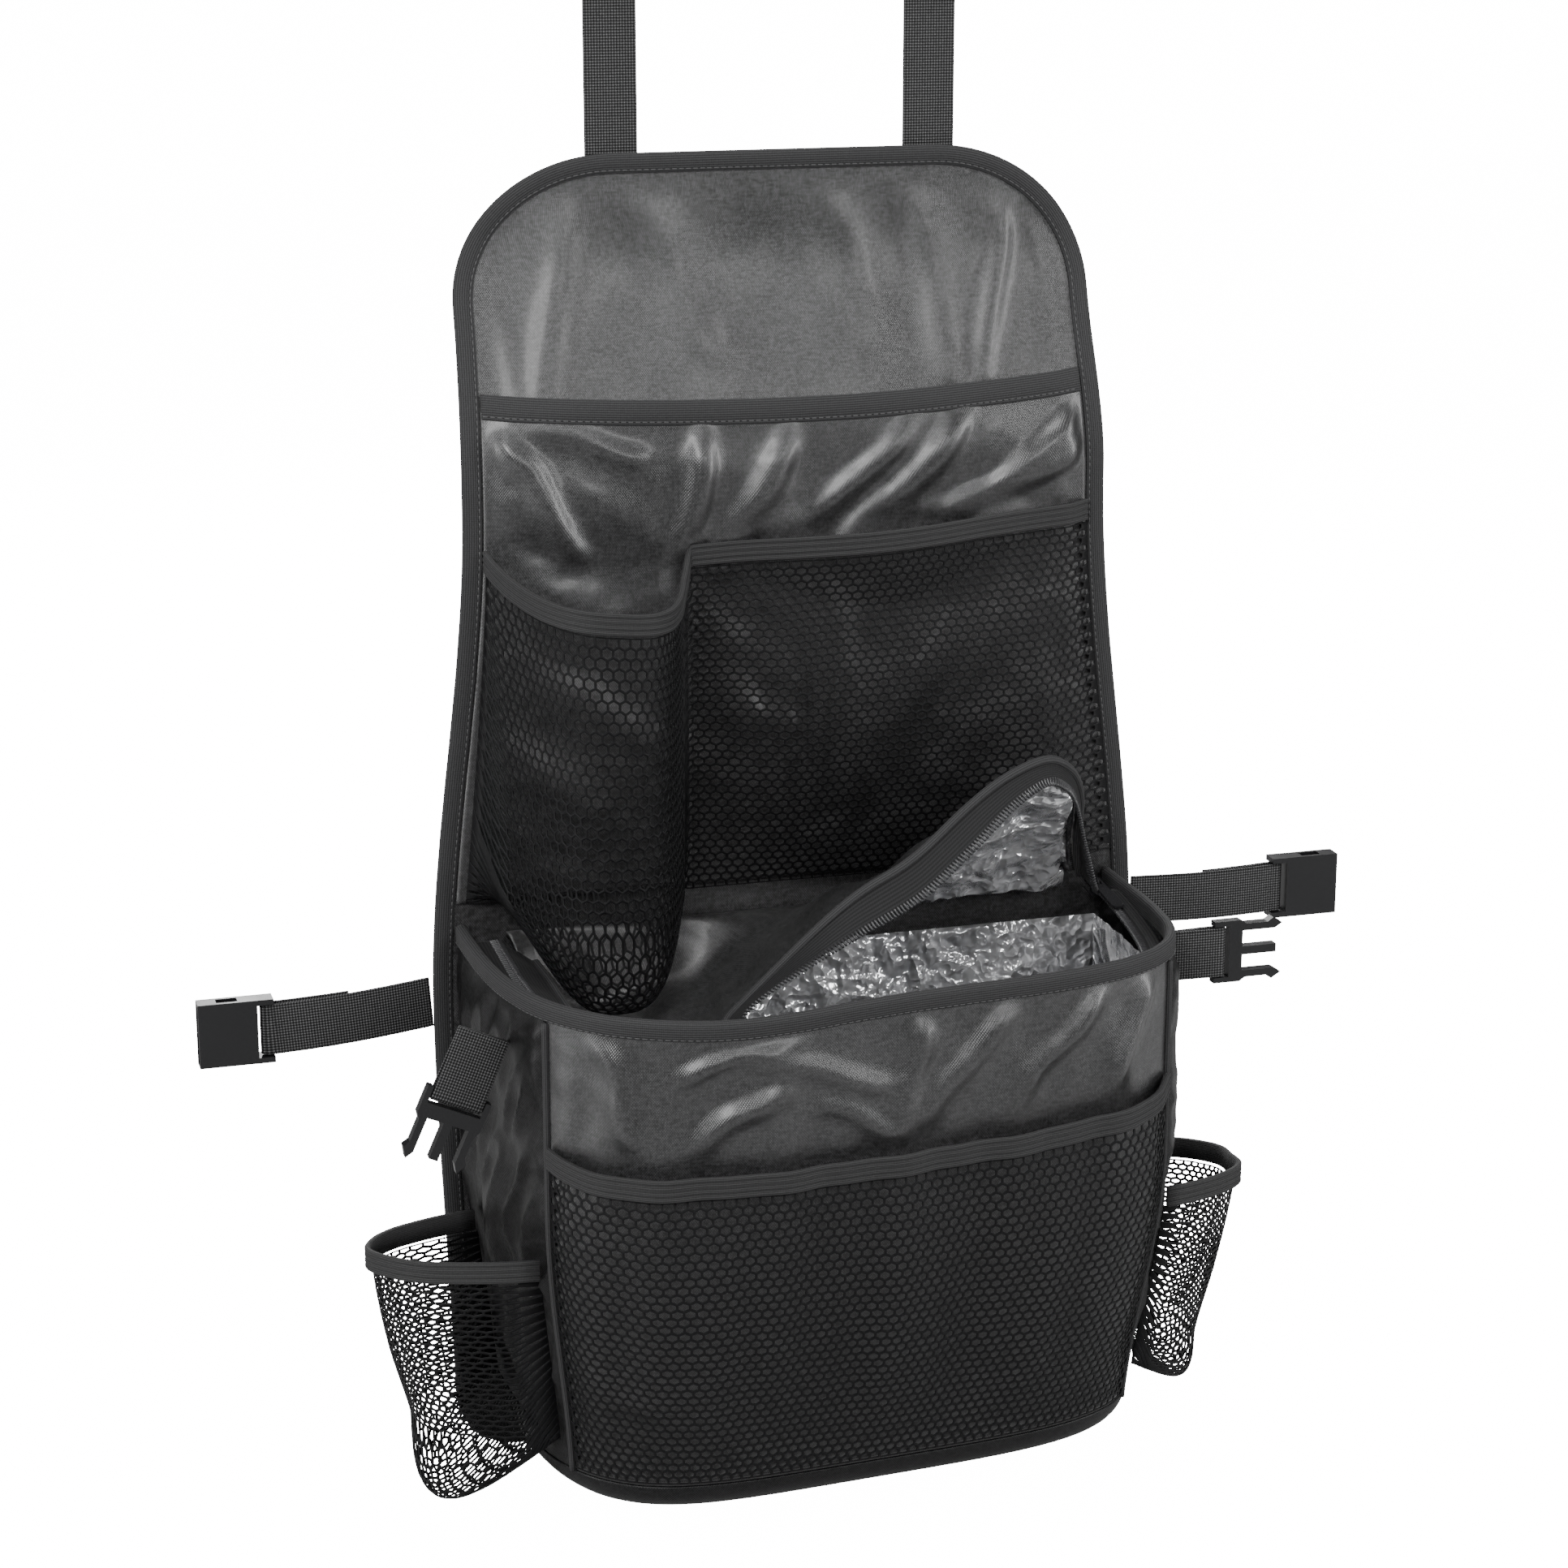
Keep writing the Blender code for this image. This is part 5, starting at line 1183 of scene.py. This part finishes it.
def panel_binding():
    """The tape folded round the panel's edge, stitched on both faces."""
    outline = panel_outline(0.004)
    count = len(outline)
    frames, rows = [], {-1: ([], []), 1: ([], [])}
    half = (PANEL_THICK + BINDING_PLAY + TAPE) / 2
    for i, place in enumerate(outline):
        ahead = outline[(i + 1) % count] - outline[i - 1]
        inward = Vector((-ahead.z, 0.0, ahead.x)).normalized()
        inward.y = lean_slope(place.z) * inward.z
        wave = 0.0003 * wrinkle(place, 0.02, 5.0)
        middle = place + Vector((0, wave - half, 0))
        frames.append((middle, inward, Vector((0, 1, 0))))
        for side in (-1, 1):
            face = Vector((0, side * half, 0))
            rows[side][0].append(middle + inward * (BINDING_WIDTH - BINDING_SEAM) + face)
            rows[side][1].append(Vector((0, side, 0)))
    out, soft, curl = -GAP - TAPE, 0.0005, 0.0014
    section = [(BINDING_WIDTH, -half + soft), (BINDING_WIDTH - soft, -half), (out + curl, -half),
               (out + soft, -half * 0.75), (out, -half * 0.4), (out, half * 0.4),
               (out + soft, half * 0.75), (out + curl, half),
               (BINDING_WIDTH - soft, half), (BINDING_WIDTH, half - soft),
               (BINDING_WIDTH, half - TAPE), (-GAP, half - TAPE),
               (-GAP, TAPE - half), (BINDING_WIDTH, TAPE - half)]
    tape = swept("panel_binding", frames, section, TAPE_LOOK, closed=True)
    settle(tape, "back_panel_binding")
    lines = []
    for side in (-1, 1):
        points, normals = rows[side]
        lines.append((points + points[:1], normals + normals[:1]))
    stitches("panel_stitching", lines)


# Document pocket

def pocket_cloth():
    """The document pocket, with its folds kept clear of the net over it."""
    hem = HEM_HEIGHT / (DOCUMENT_TOP - DOCUMENT_BOTTOM)
    points = grid_points(document_place, spread(-1, 1, 171), spread(0, 1 - hem * 0.6, 110))

    def height(p, s, t):
        edge = fade(s, t, 0.04, 0.1, 0.10)
        slanted = (p[0] * 0.8 + 0.6 * p[2], 0, p[2] * 1.3 - 0.5 * abs(p[0]))
        low = 0.0011 * wrinkle(slanted, 0.028, 4.2)
        fine = 0.0006 * wrinkle((p[0] + p[2], 0, p[2] - p[0]), 0.012, 7.7)
        room = mix(0.0030, 0.0085, smooth((p[2] - upper_top(p[0]) - 0.002) / 0.02))
        folds = 1.3 * low + 1.5 * soft_folds(p[0], p[2], POCKET_FOLDS) + fine
        return edge * room * math.tanh(folds / room) + 0.0002

    cloth = grid_object("pocket_cloth", raised(points, height), LOOSE_LOOK)
    return settle(thicken(cloth, NYLON, 1.0), "document_pocket")


def pocket_hem():
    """The tape along the document pocket's edge, with its stitches."""
    share = HEM_HEIGHT / (DOCUMENT_TOP - DOCUMENT_BOTTOM)
    frames, row, normals = [], [], []
    for u in spread(-1, 1, 161):
        low, top = document_place(u, 1 - share), document_place(u, 1)
        wave = 0.0004 * wrinkle((u * 0.15, 0, 0), 0.02, 6.0)
        up = (top - low).normalized()
        middle = (low + top) / 2
        frames.append((middle + Vector((0, wave, 0)), FORWARD, up))
        row.append(middle + Vector((0, wave - NYLON * 2, 0)) - up * (HEM_HEIGHT / 2 - HEM_SEAM))
        normals.append(FORWARD)
    half, thick = HEM_HEIGHT / 2, NYLON * 2
    section = [(0.0002, -half + 0.0004), (thick - 0.0004, -half), (thick, -half + 0.0005),
               (thick * 0.98, 0.0), (thick, half - 0.0010), (thick * 0.75, half - 0.0002),
               (thick * 0.35, half), (0, half - 0.0006)]
    tape = swept("pocket_hem", frames, section, TAPE_LOOK)
    settle(tape, "document_pocket_hem")
    stitches("hem_stitching", [(row, normals)])


# Elastic bands and the mesh pockets

def band(name, tops, outs, node):
    """A folded elastic with four ribs, slightly wavy."""
    frames = []
    for top, out in zip(tops, outs):
        wave = 0.0003 * wrinkle(top, 0.012, 2.0)
        frames.append((top + Vector((0, 0, -BAND_HEIGHT / 2)) + out * wave, out, UP))
    half = BAND_HEIGHT / 2
    section = [(0, -half + 0.0006)]
    for k in range(4):
        low = -half + BAND_HEIGHT * k / 4
        for t, deep in ((0.06, 0.80), (0.3, 1.0), (0.7, 1.0), (0.94, 0.80)):
            section.append((ELASTIC * deep, low + BAND_HEIGHT / 4 * t))
    section.append((0, half - 0.0006))
    settle(swept(name, frames, section, ELASTIC_LOOK), node)


def mesh_pocket(word, place, columns, levels, drop, steps, outward, nodes, elastic):
    """A net hung below its elastic: place(s, v, drop) is its cloth, lowered by drop."""
    mesh = hex_net(word.format("net"), lambda s, v: place(s, v, drop), columns, levels)
    settle(mesh, *nodes)
    tops = [place(s, 1.0, 0.0) for s in spread(0, 1, steps)]
    band(word.format("band"), tops, outward_axes(tops, outward), elastic)
    return mesh


def upper_pocket():
    """The wide net with its round pouch, one net all across."""
    round_share = 1 - POUCH_SHARE
    step = UPPER_ROUND_ROWS / (UPPER_ROUND_ROWS + UPPER_ROWS)

    def place(s, v, drop):
        if not drop:
            return upper_place(s, v)
        if v < round_share:
            even = mix(0, step, v / round_share)
        else:
            even = mix(step, 1, (v - round_share) / POUCH_SHARE)
        return upper_place(s, v, drop, even) + Vector((0, -0.0001, 0))

    levels = spread(0, round_share, UPPER_ROUND_ROWS + 1)
    levels += spread(round_share, 1, UPPER_ROWS + 1)[1:]
    return mesh_pocket("upper_{}", place, UPPER_CELLS, levels, BAND_HEIGHT + 2 * GAP, 181, FORWARD,
                       ("upper_mesh_pocket", "pouch_mesh"), "upper_pocket_elastic")


def front_pocket():
    def place(s, v, drop):
        return front_place(mix(FRONT_FROM, 1 - FRONT_FROM, s), v, drop)

    return mesh_pocket("front_{}", place, FRONT_CELLS, spread(0, 1, FRONT_ROWS + 1),
                       BAND_HEIGHT + GAP, 141, FORWARD,
                       ("front_mesh_pocket",), "front_pocket_elastic")


def side_pocket(side, word):
    def place(s, v, drop):
        return side_place(side, s if side < 0 else 1 - s, v, drop)

    return mesh_pocket("side_{}_" + word, place, SIDE_CELLS, spread(0, 1, SIDE_ROWS + 1),
                       BAND_HEIGHT + GAP, 61, Vector((side, 0, 0)),
                       ("side_mesh_pocket_" + word,), "side_pocket_elastic_" + word)


# Cooler

def wall_cloth(word, shares, node, look, gathered):
    """One wall: a side gathered at its seam, or the front with its long folds."""
    def place(share, v):
        top = rim_z(share) - RIM_HEIGHT * 0.7
        return body_back(share, mix(PAN_TOP + 2 * GAP, top, v))

    points = grid_points(place, shares, spread(0, 1, 111))

    def height(p, s, t):
        edge = fade(s, t, 0.05, 0.05, 0.06)
        soft = wrinkle((p[0], p[1], p[2] * 0.8), 0.034, 1.7)
        fine = 0.0006 * wrinkle(p, 0.012, 9.1)
        if gathered:
            hard = crease((p[0] + 0.4 * p[2], p[1] * 1.6 + 0.7 * p[2], p[2] * 0.55), 0.030, 5.4)
            from_seam = SIDE_REACH * ((1 - s) if p[0] < 0 else s)
            pull = crease((0, 0, p[2] + 0.3 * p[1]), 0.013, 4.0)
            gather = 0.0022 * math.exp(-from_seam / 0.016) * pull
            return edge * (1.3 * (0.0020 * soft + 0.0028 * hard - 0.0014) + fine + gather)
        under = mix(0.25, 1.0, smooth((p[2] - 0.02) / 0.08))
        return edge * under * (0.0012 * soft + 1.15 * soft_folds(p[0], p[2], FRONT_FOLDS) + fine)

    cloth = grid_object("cooler_cloth_" + word, raised(points, height), look)
    return settle(thicken(cloth, WALL, -1.0), node)


def cooler_cloth():
    """The cooler's three walls and the piping in its front corners."""
    seam = GAP / RIM.reach[-1]
    left, right = CORNER_SHARE + seam, 1 - CORNER_SHARE - seam
    front = [mix(left, right, towards_ends(t)) for t in spread(0, 1, 161)]
    made = [
        # The side walls wear the darker copy of the nylon, with painted shade.
        wall_cloth("left", spread(SIDE_START, left - 2 * seam, 61), "cooler_side_left",
                   SHADED_NYLON_LOOK, True),
        wall_cloth("front", front, "cooler_front", LOOSE_LOOK, False),
        wall_cloth("right", spread(right + 2 * seam, 1 - SIDE_START, 61), "cooler_side_right",
                   SHADED_NYLON_LOOK, True),
    ]
    for share, word in ((CORNER_SHARE, "left"), (1 - CORNER_SHARE, "right")):
        line = [body(share, z, 0.0006) for z in spread(PAN_TOP, rim_z(share) - RIM_HEIGHT, 60)]
        piping = swept("corner_seam_" + word, cord_stations(line, [FORWARD] * len(line)),
                       round_section(CORNER_PIPING, 8), TAPE_LOOK)
        settle(piping)
    return made


def cooler_floor():
    """The bottom panel, with its upturned edge."""
    rings = []
    for z in (0.0, 0.0004, 0.0012, 0.0026, 0.0045, 0.0068, 0.009, 0.0115, PAN_TOP - 0.0012, PAN_TOP):
        back = COOLER_BACK - (FLOOR_RADIUS / 3) * (1 - smooth(z / PAN_TOP))
        rings.append([tuple(p) for p in cooler_ring(z, 0, back)])
    centre = Vector((0, -COOLER_DEPTH / 2, 0))
    first = []
    for shrink in (0.02, 0.35, 0.7, 0.90, 0.96):
        ring = []
        for p in rings[0]:
            q = centre + (Vector(p) - centre) * shrink
            q.z = 0.0012 * max(0.0, wrinkle(q, 0.03, 3.0)) * (1 - shrink)
            ring.append(tuple(q))
        first.append(ring)
    points = np.array(first + rings, float)
    # The floor wears the darker copy of the nylon, with painted shade.
    cloth = grid_object("cooler_floor", points, SHADED_NYLON_LOOK, closed=True)
    close_tube(cloth, points.shape[1])
    settle(thicken(cloth, PAN_THICK, -1.0), "cooler_bottom")


def liner_cloth():
    """The foil that lines the cooler, creased and clear of its walls."""
    inset = -WALL - WALL_FOLD - GAP
    back = COOLER_BACK - GAP
    base = WALL + GAP + LINER
    rings = []
    for shrink in (0.02, 0.5, 0.88, 1.0):
        ring = cooler_ring(base, inset - 0.003, back - 0.011, 0.94 * shrink, fold=0.0)
        rings.append([tuple(p) for p in ring])
    for z in [base + 0.001, base + 0.004] + spread(0.010, LINER_TOP, 56):
        tuck = 0.011 * (1 - smooth((z - base) / 0.018))
        level = min(z, LINER_TOP - 0.0005)
        ring = cooler_ring(level, inset - tuck * 0.3, back - WALL - tuck, fold=0.0)
        rings.append([(p.x, p.y, z) for p in ring])
    points = np.array(rings, float)
    middle = np.array([0.0, -COOLER_DEPTH / 2])
    for ring in points:
        for p in ring:
            away = p[:2] - middle
            away = away / max(1e-6, np.linalg.norm(away))
            wall = smooth((p[2] - 0.003) / 0.012)
            upright = crease((p[0] * 2.2, p[1] * 2.2, p[2] * 0.35), 0.040, 2.3)
            small = crease(p, 0.016, 6.5)
            shift = wall * (LINER_STAND + 0.0012 * upright + 0.0007 * small)
            p[:2] -= away * max(0.0, shift)
    film = grid_object("liner_film", points, FOIL_LOOK, closed=True)
    close_tube(film, points.shape[1])
    return settle(thicken(film, LINER_THICK, -1.0), "cooler_liner")


def rim_binding():
    """The tape round the cooler's rim, with its stitches."""
    frames, row, normals = [], [], []
    for share in spread(0.006, 0.994, 201):
        place = body_back(share, rim_z(share) - RIM_HEIGHT / 2, -WALL / 2)
        ahead = RIM.along(share, 0.006)
        out = Vector((ahead.y, -ahead.x, 0)).normalized()
        place = place + out * 0.0003 * wrinkle(place, 0.015, 4.0)
        frames.append((place, out, UP))
        row.append(place + out * RIM_THICK / 2 - Vector((0, 0, RIM_HEIGHT / 2 - RIM_SEAM)))
        normals.append(out)
    frames[0][0].y = frames[-1][0].y = COOLER_BACK - GAP
    section = soft_bar(RIM_THICK / 2, RIM_HEIGHT / 2, RIM_ROUND, 4)
    settle(swept("rim_tape", frames, section, TAPE_LOOK), "cooler_rim_binding")
    stitches("rim_stitching", [(row, normals)])


# Zip

def zip_tape(name, place, shares, steps, node):
    tape = grid_object(name, grid_points(place, shares, spread(0, 1, steps)), ZIP_LOOK)
    settle(thicken(tape, ZIP_TAPE_THICK, 0.0), node)


def teeth(name, line, inward, node, phase):
    """Nylon teeth, one each pitch, reaching across the chain."""
    verts, faces = [], []
    count = int(line.reach[-1] / TOOTH_PITCH)
    for k in range(count):
        share = (k + 0.5 + phase) / count
        if share > 1:
            break
        place = line.at(share)
        ahead = line.along(share, 0.004)
        side = inward(share).normalized()
        up = ahead.cross(side).normalized()
        side = up.cross(ahead).normalized()
        first = len(verts)
        for at, wide in TOOTH_PROFILE:
            for i in range(TOOTH_SIDES):
                turn = math.tau * i / TOOTH_SIDES
                verts.append(place + side * (TOOTH_LONG * at)
                             + ahead * (TOOTH_HALF * wide * math.cos(turn))
                             + up * (TOOTH_HALF * TOOTH_SQUASH * wide * math.sin(turn)))
        last = first + TOOTH_SIDES * (len(TOOTH_PROFILE) - 1)
        for ring in range(first, last, TOOTH_SIDES):
            for i in range(TOOTH_SIDES):
                a, b = ring + i, ring + (i + 1) % TOOTH_SIDES
                faces.append((a, b, b + TOOTH_SIDES, a + TOOTH_SIDES))
        faces.append(tuple(first + i for i in reversed(range(TOOTH_SIDES))))
        faces.append(tuple(last + i for i in range(TOOTH_SIDES)))
    settle(faced_object(name, verts, faces, COIL_LOOK), node)


def zip_chain():
    """Both halves of the zip: their tapes and their teeth."""
    def rim_tape(share, v):
        rise = Vector((0, 0, 0.0006 * math.sin(3 * v)))
        return body(share, zip_z(share), TAPE_OUT - ZIP_TAPE_WIDTH * (1 - v)) + rise

    def lid_tape(share, v):
        near, far = CHAIN.at(share), lid_edge(share)
        wide = max(0.006, (far - near).cross(CHAIN.along(share, 0.01)).length)
        first = (COIL_RADIUS * 0.4) / wide
        last = 1 - (PIPING_RADIUS * 0.6) / wide
        place = near.lerp(far, mix(first, last, v))
        ripple = 0.0012 * math.sin(math.pi * v) * wrinkle((share * 0.9, 0, v * 0.01), 0.03, 3.0)
        return place + Vector((0, -0.5, 0.6)) * ripple

    def rim_inward(share):
        at = mix(ZIP_START, ZIP_END, share)
        return body(at, zip_z(at), RIM_COIL_OUT - 0.003) - body(at, zip_z(at), RIM_COIL_OUT)

    def lid_inward(share):
        return CHAIN.at(share) - lid_edge(share)

    shares = spread(ZIP_START, ZIP_END, 181)
    rim_line = Line([body(share, zip_z(share), RIM_COIL_OUT) for share in shares])
    zip_tape("rim_zip_tape", rim_tape, shares, 4, "zip_tape_rim")
    zip_tape("lid_zip_tape", lid_tape, spread(0.0, 1.0, 181), 9, "zip_tape_lid")
    teeth("rim_teeth", rim_line, rim_inward, "zip_coil_rim", 0.0)
    teeth("lid_teeth", CHAIN, lid_inward, "zip_coil_lid", 0.5)


# Lid

def lid_cloth():
    """The lid's outer cloth over its foam."""
    points = grid_points(lid_place, spread(0.012, 0.985, 141), spread(0, 1, 61))

    def height(p, s, t):
        edge = fade(s, t, 0.05, 0.08, 0.06)
        soft = 0.0016 * wrinkle((p[0] + 0.4 * p[1], p[1], p[2]), 0.028, 2.2)
        hard = 0.0017 * crease((p[0] * 0.8 + p[1] * 0.9, p[1] * 0.8, p[2]), 0.036, 7.2)
        return edge * (soft + hard - 0.0004)

    cloth = grid_object("lid_cloth", raised(points, height), LOOSE_LOOK)
    return settle(thicken(cloth, LID_THICK, 1.0), "lid")


def lid_film():
    """The foil under the lid, standing off its foam by more than its creases."""
    def place(share, v):
        p = lid_place(share, v)
        edge = smooth((share - LID_FOIL_FROM) / 0.03) * smooth((LID_FOIL_TO - share) / 0.07)
        edge *= smooth((v - LID_FOIL_FROM) / 0.05) * smooth((LID_FOIL_EDGE - v) / 0.03)
        big = 0.0016 * crease(p, 0.020, 3.3)
        small = 0.0009 * crease(p, 0.009, 5.1)
        stand = LID_THICK + 3 * GAP + edge * (big + small + LID_FOIL_STAND)
        return p - lid_normal(share, v) * stand

    points = grid_points(place, spread(LID_FOIL_FROM, LID_FOIL_TO, 181),
                         spread(LID_FOIL_FROM, LID_FOIL_EDGE, 71))
    film = grid_object("lid_film", points, FOIL_LOOK)
    return settle(thicken(film, LID_FOIL_THICK, 1.0), "lid_liner")


def lid_piping():
    points = [lid_edge(share) for share in spread(0.0, 1.0, 181)]
    frames = cord_stations(points, [UP] * len(points))
    section = round_section(PIPING_RADIUS, 12)
    settle(swept("lid_piping", frames, section, TAPE_LOOK), "lid_binding")


# Straps and buckles

def strap(name, points, flats, node):
    """Webbing along a line, with its width kept along the flats."""
    curve = Line(points)
    fine, fine_flats = [], []
    count = max(20, int(curve.reach[-1] / 0.002))
    for k in range(count + 1):
        i, t = curve.span(k / count)
        fine.append(curve.points[i].lerp(curve.points[i + 1], t))
        fine_flats.append(flats[i].lerp(flats[i + 1], t))
    section = soft_bar(WEBBING / 2, WEBBING_WIDTH / 2, WEBBING * 0.45)
    tape = swept(name, cord_stations(fine, fine_flats), section, WEBBING_LOOK)
    return settle(tape, node), points


def headrest_points(side):
    """A headrest strap: up behind the panel, over its loop and back down behind itself."""
    x = side * HEADREST_X
    front = lean(LOOP_TOP) + LOOP_BEHIND
    rear = front + 2 * LOOP_RADIUS
    turn_z = LOOP_TOP - LOOP_RADIUS
    foot = PANEL_TOP - BINDING_WIDTH - STRAP_SEWN
    slide_top = SLIDE_Z + SLIDE_HEIGHT
    points = [Vector((x, lean(z) + LOOP_BEHIND, z)) for z in spread(foot, PANEL_TOP, 4)]
    points += [Vector((x, lean(z) + LOOP_BEHIND, z)) for z in spread(PANEL_TOP, turn_z, 6)[1:]]
    for i in range(1, 16):
        turn = math.pi * i / 16
        points.append(Vector((x, front + LOOP_RADIUS * (1 - math.cos(turn)),
                              turn_z + LOOP_RADIUS * math.sin(turn))))
    for z in spread(turn_z, slide_top, 10):
        near = front + WEBBING + GAP
        points.append(Vector((x, mix(near, rear, smooth((z - slide_top) / (turn_z - slide_top))), z)))
    for z in spread(slide_top, foot, 7)[1:]:
        points.append(Vector((x, lean(z) + LOOP_BEHIND + WEBBING + GAP, z)))
    return points


def looped_points(line, aheads, normal, tail):
    """Along a middle line to a buckle's bar, round the bar and back."""
    spans = len(line) - 1
    near_bar = BAR_THICK / 2 + GAP + WEBBING / 2
    together = WEBBING / 2 + GAP

    def layer(i, sign):
        return line[i] + normal * sign * mix(together, near_bar, smooth(i / spans))

    points = [layer(i, 1) for i in range(spans + 1)]
    flats = [normal.cross(ahead) for ahead in aheads]
    end, ahead = line[-1], aheads[-1]
    for k in range(9):
        turn = math.pi * k / 8
        past = BAR / 2 + SLOT_LENGTH / 2 * math.sin(turn)
        points.append(end + ahead * past + normal * near_bar * math.cos(turn))
        flats.append(flats[-1])
    for i in range(spans, spans - tail - 1, -1):
        points.append(layer(i, -1))
        flats.append(normal.cross(aheads[i]))
    return points, flats


def straps():
    """All six webbings, each with the line that it follows."""
    made = []
    for side, word in ((-1, "left"), (1, "right")):
        points = headrest_points(side)
        flats = [Vector((1, 0, 0))] * len(points)
        made.append(strap("headrest_webbing_" + word, points, flats, "headrest_strap_" + word))
        line = waist_line(side)
        aheads = [Vector((side, 0, 0))] * len(line)
        points, flats = looped_points(line, aheads, FORWARD, 4)
        made.append(strap("waist_webbing_" + word, points, flats, "waist_strap_" + word))
        line, aheads = tab_line(side)
        points, flats = looped_points(line, aheads, FORWARD, len(line) - 1)
        made.append(strap("tab_webbing_" + word, points, flats, "side_tab_" + word))
    return made


def soften(obj, width):
    change = obj.modifiers.new("Soft edges", "BEVEL")
    change.width = width
    change.segments = 2
    change.limit_method = "ANGLE"
    change.angle_limit = math.radians(35)
    change.use_clamp_overlap = True
    obj.data.shade_smooth()


def carried_over():
    """The CAD's buckles, slides and zip slider, with their own material and softened edges."""
    for name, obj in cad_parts.items():
        if obj.hide_render:
            continue
        metal = name.startswith("zip_")
        obj.data.materials.clear()
        obj.data.materials.append(METAL_LOOK if metal else BUCKLE_LOOK)
        soften(obj, 0.0002 if metal else 0.0005)


# Stage

def area_light(name, place, target, size, power):
    data = bpy.data.lights.new(name, "AREA")
    data.shape = "RECTANGLE"
    data.size, data.size_y = size
    data.energy = power
    light = bpy.data.objects.new(name, data)
    bpy.context.scene.collection.objects.link(light)
    light.location = place
    light.rotation_euler = (Vector(target) - Vector(place)).to_track_quat("-Z", "Y").to_euler()


def stage():
    """The floor, the light all round, the lamps and the camera."""
    bpy.ops.mesh.primitive_plane_add(size=FLOOR_SIZE, location=(0, 0, FLOOR_Z))
    floor = bpy.context.object
    floor.name = "floor"
    n = Nodes("floor_look")
    n.set(Base_Color=(0.45, 0.45, 0.45, 1), Roughness=0.8, Emission_Color=(1.0, 1.0, 1.0, 1))
    glow = n.ramp(n.add("ShaderNodeLightPath").outputs["Is Camera Ray"], 0, 1, 0, FLOOR_SEEN)
    n.link(glow, n.shader.inputs["Emission Strength"])
    floor.data.materials.append(n.mat)
    world = bpy.data.worlds.new("studio")
    bpy.context.scene.world = world
    world.use_nodes = True
    tree = world.node_tree
    back = tree.nodes["Background"]
    back.inputs[0].default_value = (1.0, 1.0, 1.0, 1)
    seen = tree.nodes.new("ShaderNodeLightPath")
    level = tree.nodes.new("ShaderNodeMapRange")
    level.inputs[3].default_value = WORLD_LIGHT
    level.inputs[4].default_value = WORLD_SEEN
    tree.links.new(seen.outputs["Is Camera Ray"], level.inputs[0])
    tree.links.new(level.outputs[0], back.inputs[1])
    for light in LIGHTS:
        area_light(*light)
    data = bpy.data.cameras.new("camera")
    data.lens = LENS
    data.sensor_width = SENSOR
    camera = bpy.data.objects.new("camera", data)
    bpy.context.scene.collection.objects.link(camera)
    away = Vector((math.sin(CAMERA_TURN) * math.cos(CAMERA_RISE),
                   -math.cos(CAMERA_TURN) * math.cos(CAMERA_RISE), math.sin(CAMERA_RISE)))
    camera.location = CAMERA_TARGET + away * CAMERA_AWAY
    camera.rotation_euler = (-away).to_track_quat("-Z", "Y").to_euler()
    bpy.context.scene.camera = camera


def main():
    panel = panel_cloth()
    panel_binding()
    pocket = pocket_cloth()
    pocket_hem()
    upper = upper_pocket()
    front = front_pocket()
    left_pocket = side_pocket(-1, "left")
    right_pocket = side_pocket(1, "right")
    walls = cooler_cloth()
    cooler_floor()
    liner = liner_cloth()
    rim_binding()
    zip_chain()
    cover = lid_cloth()
    film = lid_film()
    lid_piping()
    webbing = straps()
    carried_over()


main()
stage()
